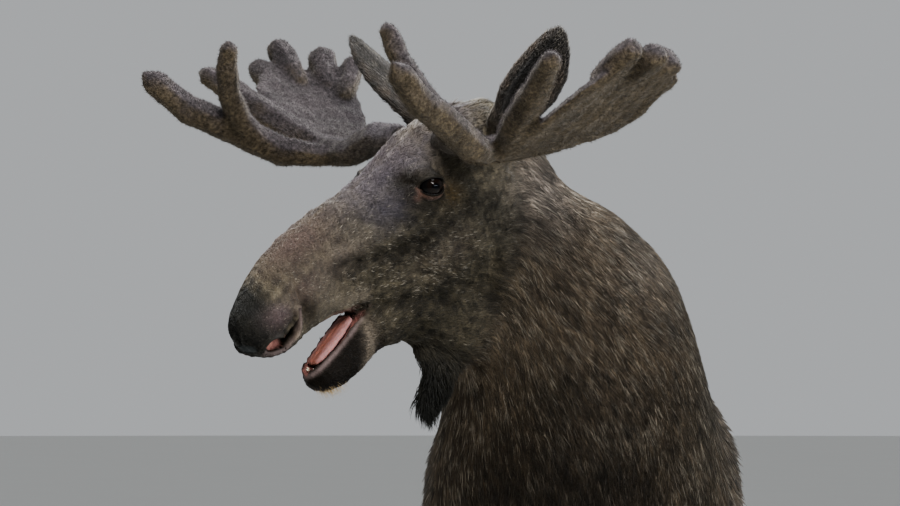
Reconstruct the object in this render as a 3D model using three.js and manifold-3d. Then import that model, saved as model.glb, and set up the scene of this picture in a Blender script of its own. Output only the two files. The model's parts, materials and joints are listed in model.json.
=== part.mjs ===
// A bull moose in summer velvet. It stands square, with its neck raised and its head turned to its right.
// Millimetres, +Z up. The body faces -Y, so its left side is +X, and the hooves stand on Z = 0.
// Every piece of flesh is a loft: a sphere whose rings are laid on a short row of cross-sections.
import * as THREE from "three";
import { mergeVertices } from "three/addons/utils/BufferGeometryUtils.js";
import Module from "manifold-3d";

const wasm = await Module();
wasm.setup();

// ---- Driving dimensions ----
const WITHERS = 1865; // top of the shoulder hump
const CROUP = 1700; // top of the rump
const CHEST_FLOOR = 1010; // underside of the chest
const SHOULDER = 285; // half the width over the shoulders
const BARREL = 282; // half the width over the ribs
const FORE_Y = -470; // where the fore feet stand
const HIND_Y = 780; // where the hind feet stand
const TRACK = 175; // half the distance between the feet
const EYES = new THREE.Vector3(-300, -970, 2075); // midpoint between the eyes
const HEAD_YAW = -49; // degrees: the head is turned to its right
const HEAD_PITCH = 34; // degrees: how far the line from eye to nose falls
const EYE_RADIUS = 22;
const EYE_SPREAD = 102; // from the middle of the head to an eye's centre
const GAP = 0.4; // the cut between two pieces
const FAR = 6000; // larger than the animal

const FLESH = new THREE.MeshStandardMaterial({ color: 0x3b2f28, roughness: 0.9 });
const LEG = new THREE.MeshStandardMaterial({ color: 0x6f655b, roughness: 0.9 });
const VELVET = new THREE.MeshStandardMaterial({ color: 0x5c4a40, roughness: 0.95 });
const HOOF = new THREE.MeshStandardMaterial({ color: 0x201c19, roughness: 0.45 });
const EYE = new THREE.MeshStandardMaterial({ color: 0x120b08, roughness: 0.05 });
const MOUTH = new THREE.MeshStandardMaterial({ color: 0xa8605a, roughness: 0.4 });
const TOOTH = new THREE.MeshStandardMaterial({ color: 0xcfc3a4, roughness: 0.4 });

// ---- Frames: the body's own, and two on the head ----
const BODY = new THREE.Matrix4();
const LEVEL = headFrame(0); // origin between the eyes, X forward, Y left, Z straight up
const HEAD = headFrame(HEAD_PITCH); // the same, with X from the eyes to the nose

function headFrame(pitch) {
  const turn = new THREE.Matrix4().makeRotationZ(THREE.MathUtils.degToRad(HEAD_YAW - 90));
  const nod = new THREE.Matrix4().makeRotationY(THREE.MathUtils.degToRad(pitch));
  return new THREE.Matrix4().makeTranslation(EYES).multiply(turn).multiply(nod);
}

// ---- Solids ----

/** A closed geometry as a solid in the body's frame, with its faces pointing out. */
function solid(geometry, frame = BODY) {
  geometry.deleteAttribute("normal");
  geometry.deleteAttribute("uv");
  const merged = mergeVertices(geometry.applyMatrix4(frame), 1e-3);
  const vertProperties = merged.attributes.position.array;
  const build = (triVerts) => new wasm.Manifold(new wasm.Mesh({ numProp: 3, vertProperties, triVerts }));
  const faces = new Uint32Array(merged.index.array);
  const made = build(faces);
  return made.volume() > 0 ? made : build(faces.reverse());
}

/**
 * A loft through sections { at, side, up, down, left, peak, cup }. Each section is an oval that stands
 * across the row: side is its half width, and up and down are its reach above and below the row. left is
 * the direction of its width, peak narrows its top, and cup bends its two edges up.
 */
function loft(sections, options = {}) {
  const { around = 14, along = 16, left = [1, 0, 0], cap = 0.06, square = 2, frame = BODY } = options;
  const row = (pick) => new THREE.CatmullRomCurve3(sections.map((s) => new THREE.Vector3(...pick(s))));
  const centres = row((s) => s.at);
  const sizes = row((s) => [s.side, s.up, s.down ?? s.up]);
  const lefts = row((s) => s.left ?? left);
  const forms = row((s) => [s.peak ?? 0, s.cup ?? 0, 0]);
  const geometry = new THREE.SphereGeometry(1, around, along);
  const position = geometry.getAttribute("position");
  const rounded = (sine) => Math.sign(sine) * Math.abs(sine) ** (2 / square);
  for (let ring = 0; ring <= along; ring++) {
    const t = (1 - Math.cos((Math.PI * ring) / along)) / 2;
    const ahead = centres.getTangent(t);
    const side = lefts.getPoint(t);
    side.addScaledVector(ahead, -side.dot(ahead)).normalize();
    const up = new THREE.Vector3().crossVectors(ahead, side);
    const size = sizes.getPoint(t);
    const form = forms.getPoint(t);
    const toEnd = Math.min(t, 1 - t) / cap;
    const close = toEnd < 1 ? Math.sqrt(Math.max(0, 1 - (1 - toEnd) ** 2)) : 1;
    for (let step = 0; step <= around; step++) {
      const angle = (2 * Math.PI * (step % around)) / around;
      const across = rounded(Math.cos(angle));
      const rise = rounded(Math.sin(angle));
      const wide = size.x * close * across * (1 - form.x * rise);
      const high = (rise > 0 ? size.y : size.z) * close * rise + form.y * (close * across) ** 2;
      const point = centres.getPoint(t).addScaledVector(side, wide).addScaledVector(up, high);
      position.setXYZ(ring * (around + 1) + step, point.x, point.y, point.z);
    }
  }
  return solid(geometry, frame);
}

/** A round rod with a blunt end, such as a tine, through points [x, y, z, radius]. */
function tine(points, frame, options = {}) {
  const sections = points.map(([x, y, z, radius]) => ({ at: [x, y, z], side: radius, up: radius }));
  const chord = points[0].slice(0, 3).map((from, axis) => Math.abs(points.at(-1)[axis] - from));
  const left = chord.map((reach) => (reach === Math.min(...chord) ? 1 : 0)); // the axis it runs along least
  return loft(sections, { around: 10, along: 9, cap: 0.14, left, frame, ...options });
}

/** Half of space: all that lies beyond a plane, moved by shift along its normal. */
function beyond(point, normal, frame = BODY, shift = 0) {
  const origin = new THREE.Vector3(...point).applyMatrix4(frame);
  const ahead = new THREE.Vector3(...normal).transformDirection(frame);
  const box = new THREE.BoxGeometry(FAR, FAR, FAR).translate(0, 0, FAR / 2 + shift);
  const turn = new THREE.Quaternion().setFromUnitVectors(new THREE.Vector3(0, 0, 1), ahead);
  return solid(box.applyQuaternion(turn).translate(...origin.toArray()));
}

/** Parts a limb at a plane: what lies beyond it, and the root that stays with its neighbour. */
function part(limb, point, normal, frame = BODY) {
  const outer = beyond(point, normal, frame, GAP / 2);
  const rest = beyond(point, normal, frame, -GAP / 2);
  return { limb: limb.intersect(outer), root: limb.subtract(rest) };
}

const join = (...solids) => solids.reduce((all, next) => all.add(next));

/** The whole animal, filled by add. */
const moose = new THREE.Group();
moose.name = "moose";

function add(name, shape, material) {
  const { vertProperties, triVerts, numProp, numVert } = shape.getMesh();
  const position = new Float32Array(numVert * 3);
  for (let i = 0; i < numVert; i++) {
    position.set(vertProperties.subarray(i * numProp, i * numProp + 3), i * 3);
  }
  const geometry = new THREE.BufferGeometry();
  geometry.setAttribute("position", new THREE.BufferAttribute(position, 3));
  geometry.setIndex(new THREE.BufferAttribute(triVerts, 1));
  const mesh = new THREE.Mesh(geometry, material);
  mesh.name = name;
  moose.add(mesh);
}

// ---- Trunk, with the roots of the four legs and the tail ----

function trunkShape() {
  const section = (y, top, floor, side, peak) => ({
    at: [0, y, (top + floor) / 2],
    side,
    up: (top - floor) / 2,
    peak,
  });
  return loft(
    [
      section(1010, CROUP - 190, 1235, 115, 0.1),
      section(900, CROUP - 70, 1150, 195, 0.1),
      section(690, CROUP, 1105, 235, 0.12),
      section(400, CROUP - 8, 1050, 268, 0.1),
      section(90, CROUP + 42, CHEST_FLOOR - 5, BARREL, 0.16),
      section(-180, WITHERS - 45, CHEST_FLOOR - 10, BARREL - 4, 0.3),
      section(-400, WITHERS, CHEST_FLOOR, SHOULDER - 15, 0.36),
      section(-600, WITHERS - 85, CHEST_FLOOR + 75, SHOULDER - 60, 0.3),
      section(-770, WITHERS - 300, CHEST_FLOOR + 190, 150, 0),
    ],
    { around: 12, along: 14, cap: 0.07, square: 2.15 },
  );
}

/** A fore leg from the shoulder blade to the pastern. side is 1 on the left, and ahead moves its foot. */
function foreLeg(side, ahead) {
  const section = (x, y, z, width, front, back) => ({
    at: [side * x, y, z],
    side: width,
    up: front,
    down: back,
  });
  const foot = FORE_Y - ahead;
  return loft(
    [
      section(134, FORE_Y + 95, 1735, 84, 100, 150),
      section(202, FORE_Y + 15, 1550, 106, 170, 190),
      section(206, FORE_Y - 40, 1290, 98, 150, 155),
      section(196, FORE_Y + 5, 1090, 72, 100, 112),
      section(TRACK + 8, FORE_Y, 950, 54, 68, 76),
      section(TRACK + 2, foot + ahead * 0.6, 770, 43, 50, 52),
      section(TRACK, foot + ahead * 0.3, 640, 41, 42, 42),
      section(TRACK, foot + ahead * 0.2, 572, 45, 50, 42),
      section(TRACK, foot + ahead * 0.1, 500, 36, 38, 36),
      section(TRACK, foot, 370, 28, 31, 33),
      section(TRACK, foot, 245, 29, 31, 35),
      section(TRACK, foot, 178, 38, 40, 45),
      section(TRACK, foot - 26, 118, 37, 38, 42),
      section(TRACK, foot - 48, 66, 46, 50, 50),
    ],
    { around: 8, along: 18, cap: 0.04 },
  );
}

/** A hind leg from the thigh to the pastern, bent at stifle and hock. */
function hindLeg(side, ahead) {
  const section = (x, y, z, width, front, back) => ({
    at: [side * x, y, z],
    side: width,
    up: front,
    down: back,
  });
  const foot = HIND_Y - ahead;
  return loft(
    [
      section(110, 730, 1570, 90, 170, 180),
      section(152, 720, 1390, 100, 210, 225),
      section(170, 690, 1210, 92, 195, 205),
      section(180, 690, 1060, 76, 130, 135),
      section(182, foot - 30, 920, 58, 82, 90),
      section(TRACK + 4, foot + 55, 780, 42, 54, 62),
      section(TRACK, foot + 112, 690, 36, 46, 58),
      section(TRACK, foot + 122, 610, 36, 50, 46),
      section(TRACK, foot + 100, 500, 31, 40, 38),
      section(TRACK, foot + 68, 360, 29, 34, 34),
      section(TRACK, foot + 46, 240, 30, 34, 36),
      section(TRACK, foot + 38, 176, 38, 42, 46),
      section(TRACK, foot + 8, 116, 37, 38, 42),
      section(TRACK, foot - 16, 66, 46, 50, 50),
    ],
    { around: 8, along: 18, cap: 0.04 },
  );
}

/** Half of a cloven hoof: a long pointed claw, flat below, that stands at x with its middle at y. */
function claw(x, y, inward) {
  const section = (dy, z, side, up) => ({ at: [x + inward * dy * 0.06, y + dy, z], side, up, down: z + 12 });
  return loft(
    [section(52, 40, 19, 38), section(10, 46, 24, 44), section(-45, 38, 24, 40), section(-102, 14, 12, 14)],
    { around: 7, along: 5, cap: 0.12, square: 2.6 },
  ).intersect(beyond([0, 0, 0], [0, 0, 1]));
}

/** The small hoof that hangs behind the fetlock. */
function dewclaw(x, y, outward) {
  return tine(
    [
      [x + outward * 16, y + 48, 126, 13],
      [x + outward * 22, y + 84, 100, 14],
      [x + outward * 24, y + 98, 66, 7],
    ],
    BODY,
    { around: 6, along: 4 },
  );
}

/** One foot below the pastern. It adds the claws and returns the leg cut clear of them. */
function shoe(name, leg, side, y) {
  const coronet = { point: [0, y, 78], normal: [0, 0.34, 1] };
  const up = beyond(coronet.point, coronet.normal, BODY, GAP / 2);
  const down = beyond(coronet.point, coronet.normal, BODY, -GAP / 2);
  for (const [place, outward] of [["outer", side], ["inner", -side]]) {
    const x = side * TRACK + outward * 29;
    add(`hoof_${name}_${place}`, claw(x, y - 18, -outward).subtract(down), HOOF);
    const spur = part(dewclaw(side * TRACK, y, outward), [0, y + 68, 112], [0, 0.75, -0.66]);
    leg = leg.add(spur.root);
    add(`dewclaw_${name}_${place}`, spur.limb, HOOF);
  }
  return leg.intersect(up);
}

let trunk = trunkShape();
const STEP = { left: 35, right: -35 }; // how far each fore foot stands ahead; the hind feet do the opposite
for (const [name, side] of [["left", 1], ["right", -1]]) {
  const fore = part(foreLeg(side, STEP[name]), [0, 0, CHEST_FLOOR - 25], [0, 0, -1]);
  const hind = part(hindLeg(side, -STEP[name]), [0, 0, CHEST_FLOOR + 5], [0, 0, -1]);
  add(`fore_leg_${name}`, shoe(`fore_${name}`, fore.limb, side, FORE_Y - STEP[name] - 48), LEG);
  add(`hind_leg_${name}`, shoe(`hind_${name}`, hind.limb, side, HIND_Y + STEP[name] - 16), LEG);
  trunk = join(trunk, fore.root, hind.root);
}

const tail = part(
  loft(
    [
      { at: [0, 960, 1560], side: 34, up: 26 },
      { at: [0, 1035, 1500], side: 30, up: 24 },
      { at: [0, 1068, 1420], side: 24, up: 20 },
    ],
    { around: 8, along: 6, cap: 0.2 },
  ),
  [0, 1046, 1500],
  [0, 0.8, -0.6],
);
trunk = trunk.add(tail.root);
add("tail", tail.limb, FLESH);

// ---- Neck and head ----

/** The direction of an animal's left when it faces yaw degrees from straight ahead. */
const leftOf = (yaw) => [Math.cos((yaw * Math.PI) / 180), Math.sin((yaw * Math.PI) / 180), 0];

function neckShape() {
  const section = (x, y, z, side, crest, throat, yaw, peak) => ({
    at: [x, y, z],
    side,
    up: crest,
    down: throat,
    left: leftOf(yaw),
    peak,
  });
  return loft(
    [
      section(4, -345, 1390, 256, 300, 260, 0, 0.2),
      section(2, -520, 1520, 277, 330, 300, -4, 0.2),
      section(7, -628, 1715, 248, 280, 268, -12, 0.16),
      section(-8, -700, 1850, 207, 238, 230, -24, 0.12),
      section(-66, -773, 1968, 154, 142, 205, -38, 0.05),
      section(-148, -840, 2035, 122, 92, 195, -48, 0),
      section(-228, -900, 2062, 100, 72, 150, -49, 0),
    ],
    { around: 13, along: 12, cap: 0.05 },
  );
}

/** Skull, cheeks and muzzle, from nape to nose. x runs forward from between the eyes. */
function headShape() {
  const section = (x, top, floor, side, peak = 0) => ({
    at: [x, 0, (top + floor) / 2],
    side,
    up: (top - floor) / 2,
    peak,
  });
  return loft(
    [
      section(-300, 0, -170, 70),
      section(-235, 36, -215, 92, 0.05),
      section(-160, 58, -234, 106, 0.05),
      section(-80, 72, -236, 113, 0.05),
      section(0, 66, -226, 106, 0.04),
      section(80, 60, -186, 86, 0),
      section(160, 64, -138, 69, 0),
      section(240, 66, -112, 60, 0.02),
      section(315, 50, -104, 64, 0.08),
      section(375, 17, -108, 63, 0.12),
      section(424, -22, -100, 50, 0.08),
    ],
    { around: 14, along: 19, left: [0, 1, 0], cap: 0.05, square: 2.3, frame: HEAD },
  );
}

/** The throat behind the jaw, from the neck to below the cheek. x and z are in the level frame. */
function throatShape() {
  const section = (x, top, floor, side) => ({ at: [x, 0, (top + floor) / 2], side, up: (top - floor) / 2 });
  return loft(
    [
      section(-270, -150, -350, 100),
      section(-160, -140, -324, 88),
      section(-70, -150, -290, 68),
      section(0, -170, -268, 50),
      section(40, -175, -240, 34),
    ],
    { around: 10, along: 7, left: [0, 1, 0], cap: 0.08, frame: LEVEL },
  );
}

/** The lower jaw, from inside the cheek to the chin. */
function jawShape() {
  const section = (x, top, floor, side) => ({ at: [x, 0, (top + floor) / 2], side, up: (top - floor) / 2 });
  return loft(
    [
      section(30, -120, -236, 60),
      section(130, -122, -232, 55),
      section(205, -126, -214, 46),
      section(262, -142, -226, 44),
      section(310, -154, -224, 41),
      section(350, -163, -196, 28),
    ],
    { around: 10, along: 9, left: [0, 1, 0], cap: 0.09, square: 2.4, frame: HEAD },
  );
}

/** The hollow between palate and lower jaw, open at the lips. */
function mouthShape() {
  const section = (x, z, side, up) => ({ at: [x, 0, z], side, up });
  return loft(
    [
      section(120, -122, 22, 7),
      section(190, -124, 36, 12),
      section(262, -140, 34, 18),
      section(318, -154, 29, 17),
      section(346, -160, 16, 8),
    ],
    { around: 10, along: 7, left: [0, 1, 0], cap: 0.1, frame: HEAD },
  );
}

/** The tongue, or with grow the seat it lies in. */
function tongueShape(grow = 0) {
  const section = (x, z, side, up) => ({ at: [x, 0, z], side: side + grow, up: up + grow });
  return loft(
    [
      section(208, -132, 20, 5),
      section(262, -146, 24, 8),
      section(305, -157, 19, 7),
      section(322, -160, 12, 5),
    ],
    { around: 8, along: 6, left: [0, 1, 0], cap: 0.12, frame: HEAD },
  );
}

/** The row of lower front teeth, as one arch, or with grow its socket. */
function teethShape(grow = 0) {
  const spread = 15 + grow;
  const sections = [-1, -0.5, 0, 0.5, 1].map((k) => ({
    at: [340 - 9 * k * k, spread * k, -160],
    side: 2.6 + grow,
    up: 5 + grow,
    left: [1, 0, 0],
  }));
  return loft(sections, { around: 6, along: 8, cap: 0.1, frame: HEAD });
}

/** A nostril: a slanting hollow in the side of the muzzle. */
function nostril(side) {
  return loft(
    [
      { at: [398, side * 56, -82], side: 22, up: 8 },
      { at: [370, side * 62, -72], side: 30, up: 18 },
      { at: [330, side * 68, -46], side: 24, up: 7 },
    ],
    { around: 8, along: 6, left: [0, 1, 0], cap: 0.2, frame: HEAD },
  );
}

/** A leaf-shaped ear, hollowed outward and to the front. */
function earShape(side) {
  const root = new THREE.Vector3(-168, side * 72, 92);
  const rise = new THREE.Vector3(-128, side * 316, 280).sub(root);
  const sag = new THREE.Vector3(0, side * 16, -10); // how far the middle bows down and outward
  const open = new THREE.Vector3(0.3, side * 0.6, -0.8);
  const across = new THREE.Vector3().crossVectors(rise, open).normalize();
  const leaf = (sections, grow, shift) =>
    sections.map(([along, wide, deep]) => ({
      at: root
        .clone()
        .addScaledVector(rise, along)
        .addScaledVector(sag, Math.sin(Math.PI * along))
        .addScaledVector(open, shift)
        .toArray(),
      side: wide * grow,
      up: deep * grow,
      left: across.toArray(),
    }));
  const sections = [
    [0, 30, 34],
    [0.2, 37, 32],
    [0.4, 55, 34],
    [0.64, 54, 26],
    [0.87, 34, 14],
    [1, 10, 6],
  ];
  const outer = loft(leaf(sections, 1, 0), { around: 10, along: 9, cap: 0.06, frame: LEVEL });
  const inner = loft(leaf(sections.slice(1), 0.84, 14), { around: 8, along: 6, cap: 0.14, frame: LEVEL });
  return part(outer.subtract(inner), [-160, side * 112, 122], [0, side * 0.8, 0.6], LEVEL);
}

// ---- Antlers, in the level frame of the head ----

/** A beam that dips outward, a forked brow palm ahead, and a cupped palm with stubs along its rim. */
function antler(name, side) {
  // The pair is not quite even: lift raises a tip on the left and lowers it on the right.
  const at = (x, y, z, radius, lift = 0) => [x, side * y, z + side * lift, radius];
  const rod = (...points) => tine(points.map((point) => at(...point)), LEVEL, { around: 6, along: 6 });
  const beam = rod(
    [-62, 60, 85, 30],
    [-46, 118, 90, 31],
    [-36, 190, 62, 28],
    [-42, 265, 66, 28],
    [-62, 330, 90, 22],
  );
  const palmRow = [
    [-46, 215, 62, 30, 24, 0],
    [-62, 275, 68, 50, 20, 3],
    [-90, 350, 92, 82, 16, 10],
    [-114, 428, 136, 108, 15, 20],
    [-142, 492, 184, 98, 15, 16],
    [-146, 544, 218, 72, 14, 4],
  ];
  const sheet = loft(
    palmRow.map(([x, y, z, wide, thick, cup]) => ({ at: [x, side * y, z], side: wide, up: thick, cup })),
    { around: 9, along: 8, left: [1, side * 0.2, 0.05], cap: 0.09, square: 2.8, frame: LEVEL },
  );
  const stubs = [
    rod([-40, 270, 68, 28], [-4, 370, 118, 32], [22, 455, 170, 25], [54, 545, 222, 23, 3]),
    rod([-80, 470, 172, 20], [-93, 540, 212, 25, 4], [-97, 578, 236, 23, 4]),
    rod([-135, 480, 185, 20], [-142, 552, 228, 27, -17], [-144, 583, 250, 25, -17]),
    rod([-175, 460, 178, 20], [-204, 514, 222, 29, -14], [-216, 532, 238, 26, -14]),
    rod([-185, 425, 155, 20], [-236, 466, 202, 24, -18], [-254, 480, 218, 21, -18]),
  ];
  const brow = join(
    rod([-38, 232, 56, 27], [40, 290, 66, 30], [125, 330, 108, 31], [200, 358, 140, 29], [284, 386, 212, 29]),
    rod([70, 300, 70, 26], [140, 300, 140, 24], [176, 268, 205, 22, 6], [192, 238, 274, 20, 10]),
  );
  const whole = join(beam, brow, sheet, ...stubs);
  const fan = part(whole, [-60, side * 318, 84], [-0.5, side * 0.8, 0.33], LEVEL);
  const fork = part(fan.root, [60, side * 300, 74], [0.95, side * 0.3, 0.1], LEVEL);
  const stem = part(fork.root, [-47, side * 112, 92], [0.1, side, -0.1], LEVEL);
  add(`antler_${name}_beam`, stem.limb, VELVET);
  add(`antler_${name}_brow_palm`, fork.limb, VELVET);
  add(`antler_${name}_main_palm`, fan.limb, VELVET);
  return stem.root;
}

/** The bulge of the eye socket's rim. */
function orbit(side) {
  const rim = new THREE.SphereGeometry(1, 8, 6).scale(48, 32, 37).rotateZ(side * 0.12);
  return solid(rim.translate(-4, side * 78, 0), HEAD);
}

let head = join(headShape(), jawShape(), throatShape());
for (const [name, side] of [["left", 1], ["right", -1]]) {
  const ear = earShape(side);
  add(`ear_${name}`, ear.limb, FLESH);
  head = join(head, ear.root, orbit(side), antler(name, side));
  const eye = new THREE.SphereGeometry(EYE_RADIUS, 10, 7).translate(-6, side * EYE_SPREAD, -3);
  const socket = new THREE.SphereGeometry(EYE_RADIUS + GAP, 10, 7).translate(-6, side * EYE_SPREAD, -3);
  add(`eye_${name}`, solid(eye, HEAD), EYE);
  head = head.subtract(solid(socket, HEAD)).subtract(nostril(side));
}
/** The bell: the dewlap that hangs from the throat, or with grow the seat it hangs in. */
function bellShape(grow = 0) {
  const section = (x, z, side, front, back) => ({
    at: [x, 0, z],
    side: side + grow,
    up: front + grow,
    down: back + grow,
  });
  return loft(
    [
      section(-92, -245, 30, 84, 80),
      section(-102, -298, 30, 64, 62),
      section(-96, -338, 25, 36, 36),
      section(-76, -374, 22, 34, 32),
      section(-66, -414, 12, 22, 22),
    ],
    { around: 8, along: 7, cap: 0.12, left: [0, 1, 0], frame: LEVEL },
  );
}

const whole = join(head, neckShape(), trunk).subtract(mouthShape()).subtract(bellShape(GAP));
const nape = part(whole, [-190, 0, -60], [0.987, 0, 0.163], LEVEL);
const jawSpace = (shift) =>
  beyond([206, 0, 0], [1, 0, -0.1], HEAD, shift).intersect(beyond([0, 0, -124], [0, 0, -1], HEAD, shift));
const jaw = nape.limb.intersect(jawSpace(GAP / 2));
add("head", nape.limb.subtract(jawSpace(-GAP / 2)).subtract(tongueShape(GAP)), FLESH);
add("lower_jaw", jaw.subtract(tongueShape(GAP)).subtract(teethShape(GAP)), FLESH);
add("tongue", tongueShape(), MOUTH);
add("lower_teeth", teethShape(), TOOTH);
add("bell", bellShape(), FLESH);
const shoulders = part(nape.root, [0, -610, 1600], [0, -0.85, 0.53]);
add("neck", shoulders.limb, FLESH);
add("trunk", shoulders.root, FLESH);

// The origin lies on the floor, under the middle of the animal.
const bounds = new THREE.Box3().setFromObject(moose);
const middle = bounds.getCenter(new THREE.Vector3());
moose.position.set(-middle.x, -middle.y, -bounds.min.z);

export default moose;
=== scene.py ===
"""A bull moose in summer velvet. It stands square, with its head turned to its right and its mouth ajar.

Metres, +Z up. The body faces -Y, so its left side is +X, and the hooves stand on Z = 0. One skin takes the
place of all the flesh, the coat grows from that skin, and the antlers, eyes and hooves are pieces of their own.
"""

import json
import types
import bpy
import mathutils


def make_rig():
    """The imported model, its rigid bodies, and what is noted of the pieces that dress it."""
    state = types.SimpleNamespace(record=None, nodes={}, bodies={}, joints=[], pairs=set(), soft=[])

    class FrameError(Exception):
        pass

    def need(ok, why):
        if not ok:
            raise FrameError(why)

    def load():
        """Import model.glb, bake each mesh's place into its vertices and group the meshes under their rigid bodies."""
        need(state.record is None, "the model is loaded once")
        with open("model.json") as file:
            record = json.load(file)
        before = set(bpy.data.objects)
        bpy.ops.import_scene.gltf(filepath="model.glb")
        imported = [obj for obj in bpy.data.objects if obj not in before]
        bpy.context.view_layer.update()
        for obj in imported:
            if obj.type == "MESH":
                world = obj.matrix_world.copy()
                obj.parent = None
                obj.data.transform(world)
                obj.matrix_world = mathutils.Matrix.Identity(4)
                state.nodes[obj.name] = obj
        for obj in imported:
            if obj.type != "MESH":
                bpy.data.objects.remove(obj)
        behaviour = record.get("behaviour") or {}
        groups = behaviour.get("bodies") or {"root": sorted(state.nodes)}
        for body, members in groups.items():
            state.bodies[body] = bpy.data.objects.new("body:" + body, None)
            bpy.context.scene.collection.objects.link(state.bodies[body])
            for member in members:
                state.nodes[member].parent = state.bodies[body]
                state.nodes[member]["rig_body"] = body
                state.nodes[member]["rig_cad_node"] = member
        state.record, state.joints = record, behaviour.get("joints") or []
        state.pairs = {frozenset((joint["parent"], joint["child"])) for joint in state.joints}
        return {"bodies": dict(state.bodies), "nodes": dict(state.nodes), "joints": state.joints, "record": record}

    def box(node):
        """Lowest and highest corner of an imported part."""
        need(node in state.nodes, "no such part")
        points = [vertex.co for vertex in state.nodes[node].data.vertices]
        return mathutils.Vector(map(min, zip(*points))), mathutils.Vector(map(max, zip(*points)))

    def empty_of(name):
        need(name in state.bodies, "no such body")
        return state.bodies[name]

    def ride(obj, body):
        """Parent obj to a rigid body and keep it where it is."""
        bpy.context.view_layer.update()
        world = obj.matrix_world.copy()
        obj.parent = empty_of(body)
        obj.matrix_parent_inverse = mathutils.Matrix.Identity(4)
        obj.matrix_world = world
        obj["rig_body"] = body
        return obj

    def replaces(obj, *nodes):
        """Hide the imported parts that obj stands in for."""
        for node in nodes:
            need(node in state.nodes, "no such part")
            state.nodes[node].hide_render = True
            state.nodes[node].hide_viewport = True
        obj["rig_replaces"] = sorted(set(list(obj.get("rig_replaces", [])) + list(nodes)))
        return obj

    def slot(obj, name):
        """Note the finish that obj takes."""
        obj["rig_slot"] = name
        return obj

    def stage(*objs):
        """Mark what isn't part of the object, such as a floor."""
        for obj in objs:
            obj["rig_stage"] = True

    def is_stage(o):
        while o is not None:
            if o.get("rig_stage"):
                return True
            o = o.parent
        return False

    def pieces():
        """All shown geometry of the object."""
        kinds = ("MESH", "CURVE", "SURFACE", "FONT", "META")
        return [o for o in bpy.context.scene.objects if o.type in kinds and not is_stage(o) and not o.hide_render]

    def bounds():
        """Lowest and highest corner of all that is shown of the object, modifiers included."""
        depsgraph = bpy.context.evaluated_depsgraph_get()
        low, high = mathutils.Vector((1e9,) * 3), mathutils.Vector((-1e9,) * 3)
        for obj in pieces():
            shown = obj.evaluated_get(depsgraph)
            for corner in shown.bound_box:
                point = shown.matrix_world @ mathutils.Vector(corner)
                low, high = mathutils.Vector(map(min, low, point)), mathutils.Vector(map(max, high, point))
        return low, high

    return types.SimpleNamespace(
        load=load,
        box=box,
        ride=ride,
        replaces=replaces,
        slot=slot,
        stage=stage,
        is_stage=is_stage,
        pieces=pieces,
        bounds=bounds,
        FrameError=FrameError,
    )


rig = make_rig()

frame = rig.load()

import json
import logging
import math
from contextlib import contextmanager
from dataclasses import dataclass, field
from enum import Enum
from typing import Callable, Iterable, Iterator

import bpy
import numpy as np
from mathutils.bvhtree import BVHTree

CAD_BOX = [list(corner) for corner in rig.bounds()]
SEED = 20
HEAD_PITCH = 34  # degrees by which the nose falls below the level
EYE_BACK, EYE_DROP = 0.006, 0.003  # the eyes lie this far behind and below the head's origin
BAKE_MAP = "OFBake"
PAINT = "coat"  # the colour stored at each point of a piece
Piece = bpy.types.Object
Points = np.ndarray
Place = tuple[float, ...]
Route = tuple[Place, ...]
Colour = tuple[float, float, float]
logging.basicConfig(level=logging.INFO, format="%(message)s")
log = logging.getLogger("moose")


class Side(Enum):
    """The animal's own left and right."""

    LEFT = 1
    RIGHT = -1

    @property
    def word(self) -> str:
        """The side's word in node and piece names."""
        return self.name.lower()


class Region(Enum):
    """Stretches of the body whose coats differ, each with its nodes."""

    TRUNK = ("trunk", "tail")
    NECK = ("neck",)
    FACE = ("head",)
    CHIN = ("lower_jaw",)
    BELL = ("bell",)
    EARS = ("ear_left", "ear_right")
    LEGS = ("fore_leg_left", "fore_leg_right", "hind_leg_left", "hind_leg_right")

    @property
    def column(self) -> int:
        """The region's column in a table of region weights."""
        return list(Region).index(self)

    def of(self, weights: Points) -> Points:
        """How much each point belongs to the region."""
        return weights[:, self.column]


# ---- Directions and places ----


@dataclass(frozen=True)
class Axes:
    """An origin with the head's own forward, left and up."""

    origin: Points
    forward: Points
    left: Points
    up: Points

    @property
    def ways(self) -> Points:
        """The three directions, a row each."""
        return np.array([self.forward, self.left, self.up])

    def local(self, points: Points) -> Points:
        """Points in these axes, from points in the model's frame."""
        return (points - self.origin) @ self.ways.T

    def world(self, points: Points) -> Points:
        """Points in the model's frame, from points in these axes."""
        return np.asarray(points, float) @ self.ways + self.origin

    def turn(self, direction: Iterable[float]) -> Points:
        """A direction in the model's frame, from one in these axes."""
        return np.asarray(direction, float) @ self.ways


def node_centre(node: str) -> Points:
    """The middle of a node's box."""
    low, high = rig.box(node)
    return (np.array(low) + np.array(high)) / 2


def head_axes(pitch: float) -> Axes:
    """The head's axes, from where its two eyes lie.

    Args:
        pitch: degrees by which forward falls below the level.

    Returns:
        The axes, with their origin a little ahead of the line between the eyes.
    """
    eyes = node_centre("eye_left"), node_centre("eye_right")
    left = eyes[0] - eyes[1]
    left[2] = 0
    left /= np.linalg.norm(left)
    level = np.array([left[1], -left[0], 0.0])
    upright = np.array([0.0, 0.0, 1.0])
    nod = math.radians(pitch)
    forward = level * math.cos(nod) - upright * math.sin(nod)
    up = level * math.sin(nod) + upright * math.cos(nod)
    return Axes((eyes[0] + eyes[1]) / 2 + EYE_BACK * forward + EYE_DROP * up, forward, left, up)


HEAD = head_axes(HEAD_PITCH)
LEVEL = Axes(HEAD.origin, np.array([HEAD.left[1], -HEAD.left[0], 0.0]), HEAD.left, np.array([0.0, 0.0, 1.0]))


def mirrored(points: Points) -> Points:
    """Places in the head's axes, with the right side laid on the left one."""
    face = HEAD.local(points)
    face[:, 1] = np.abs(face[:, 1])
    return face


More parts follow.
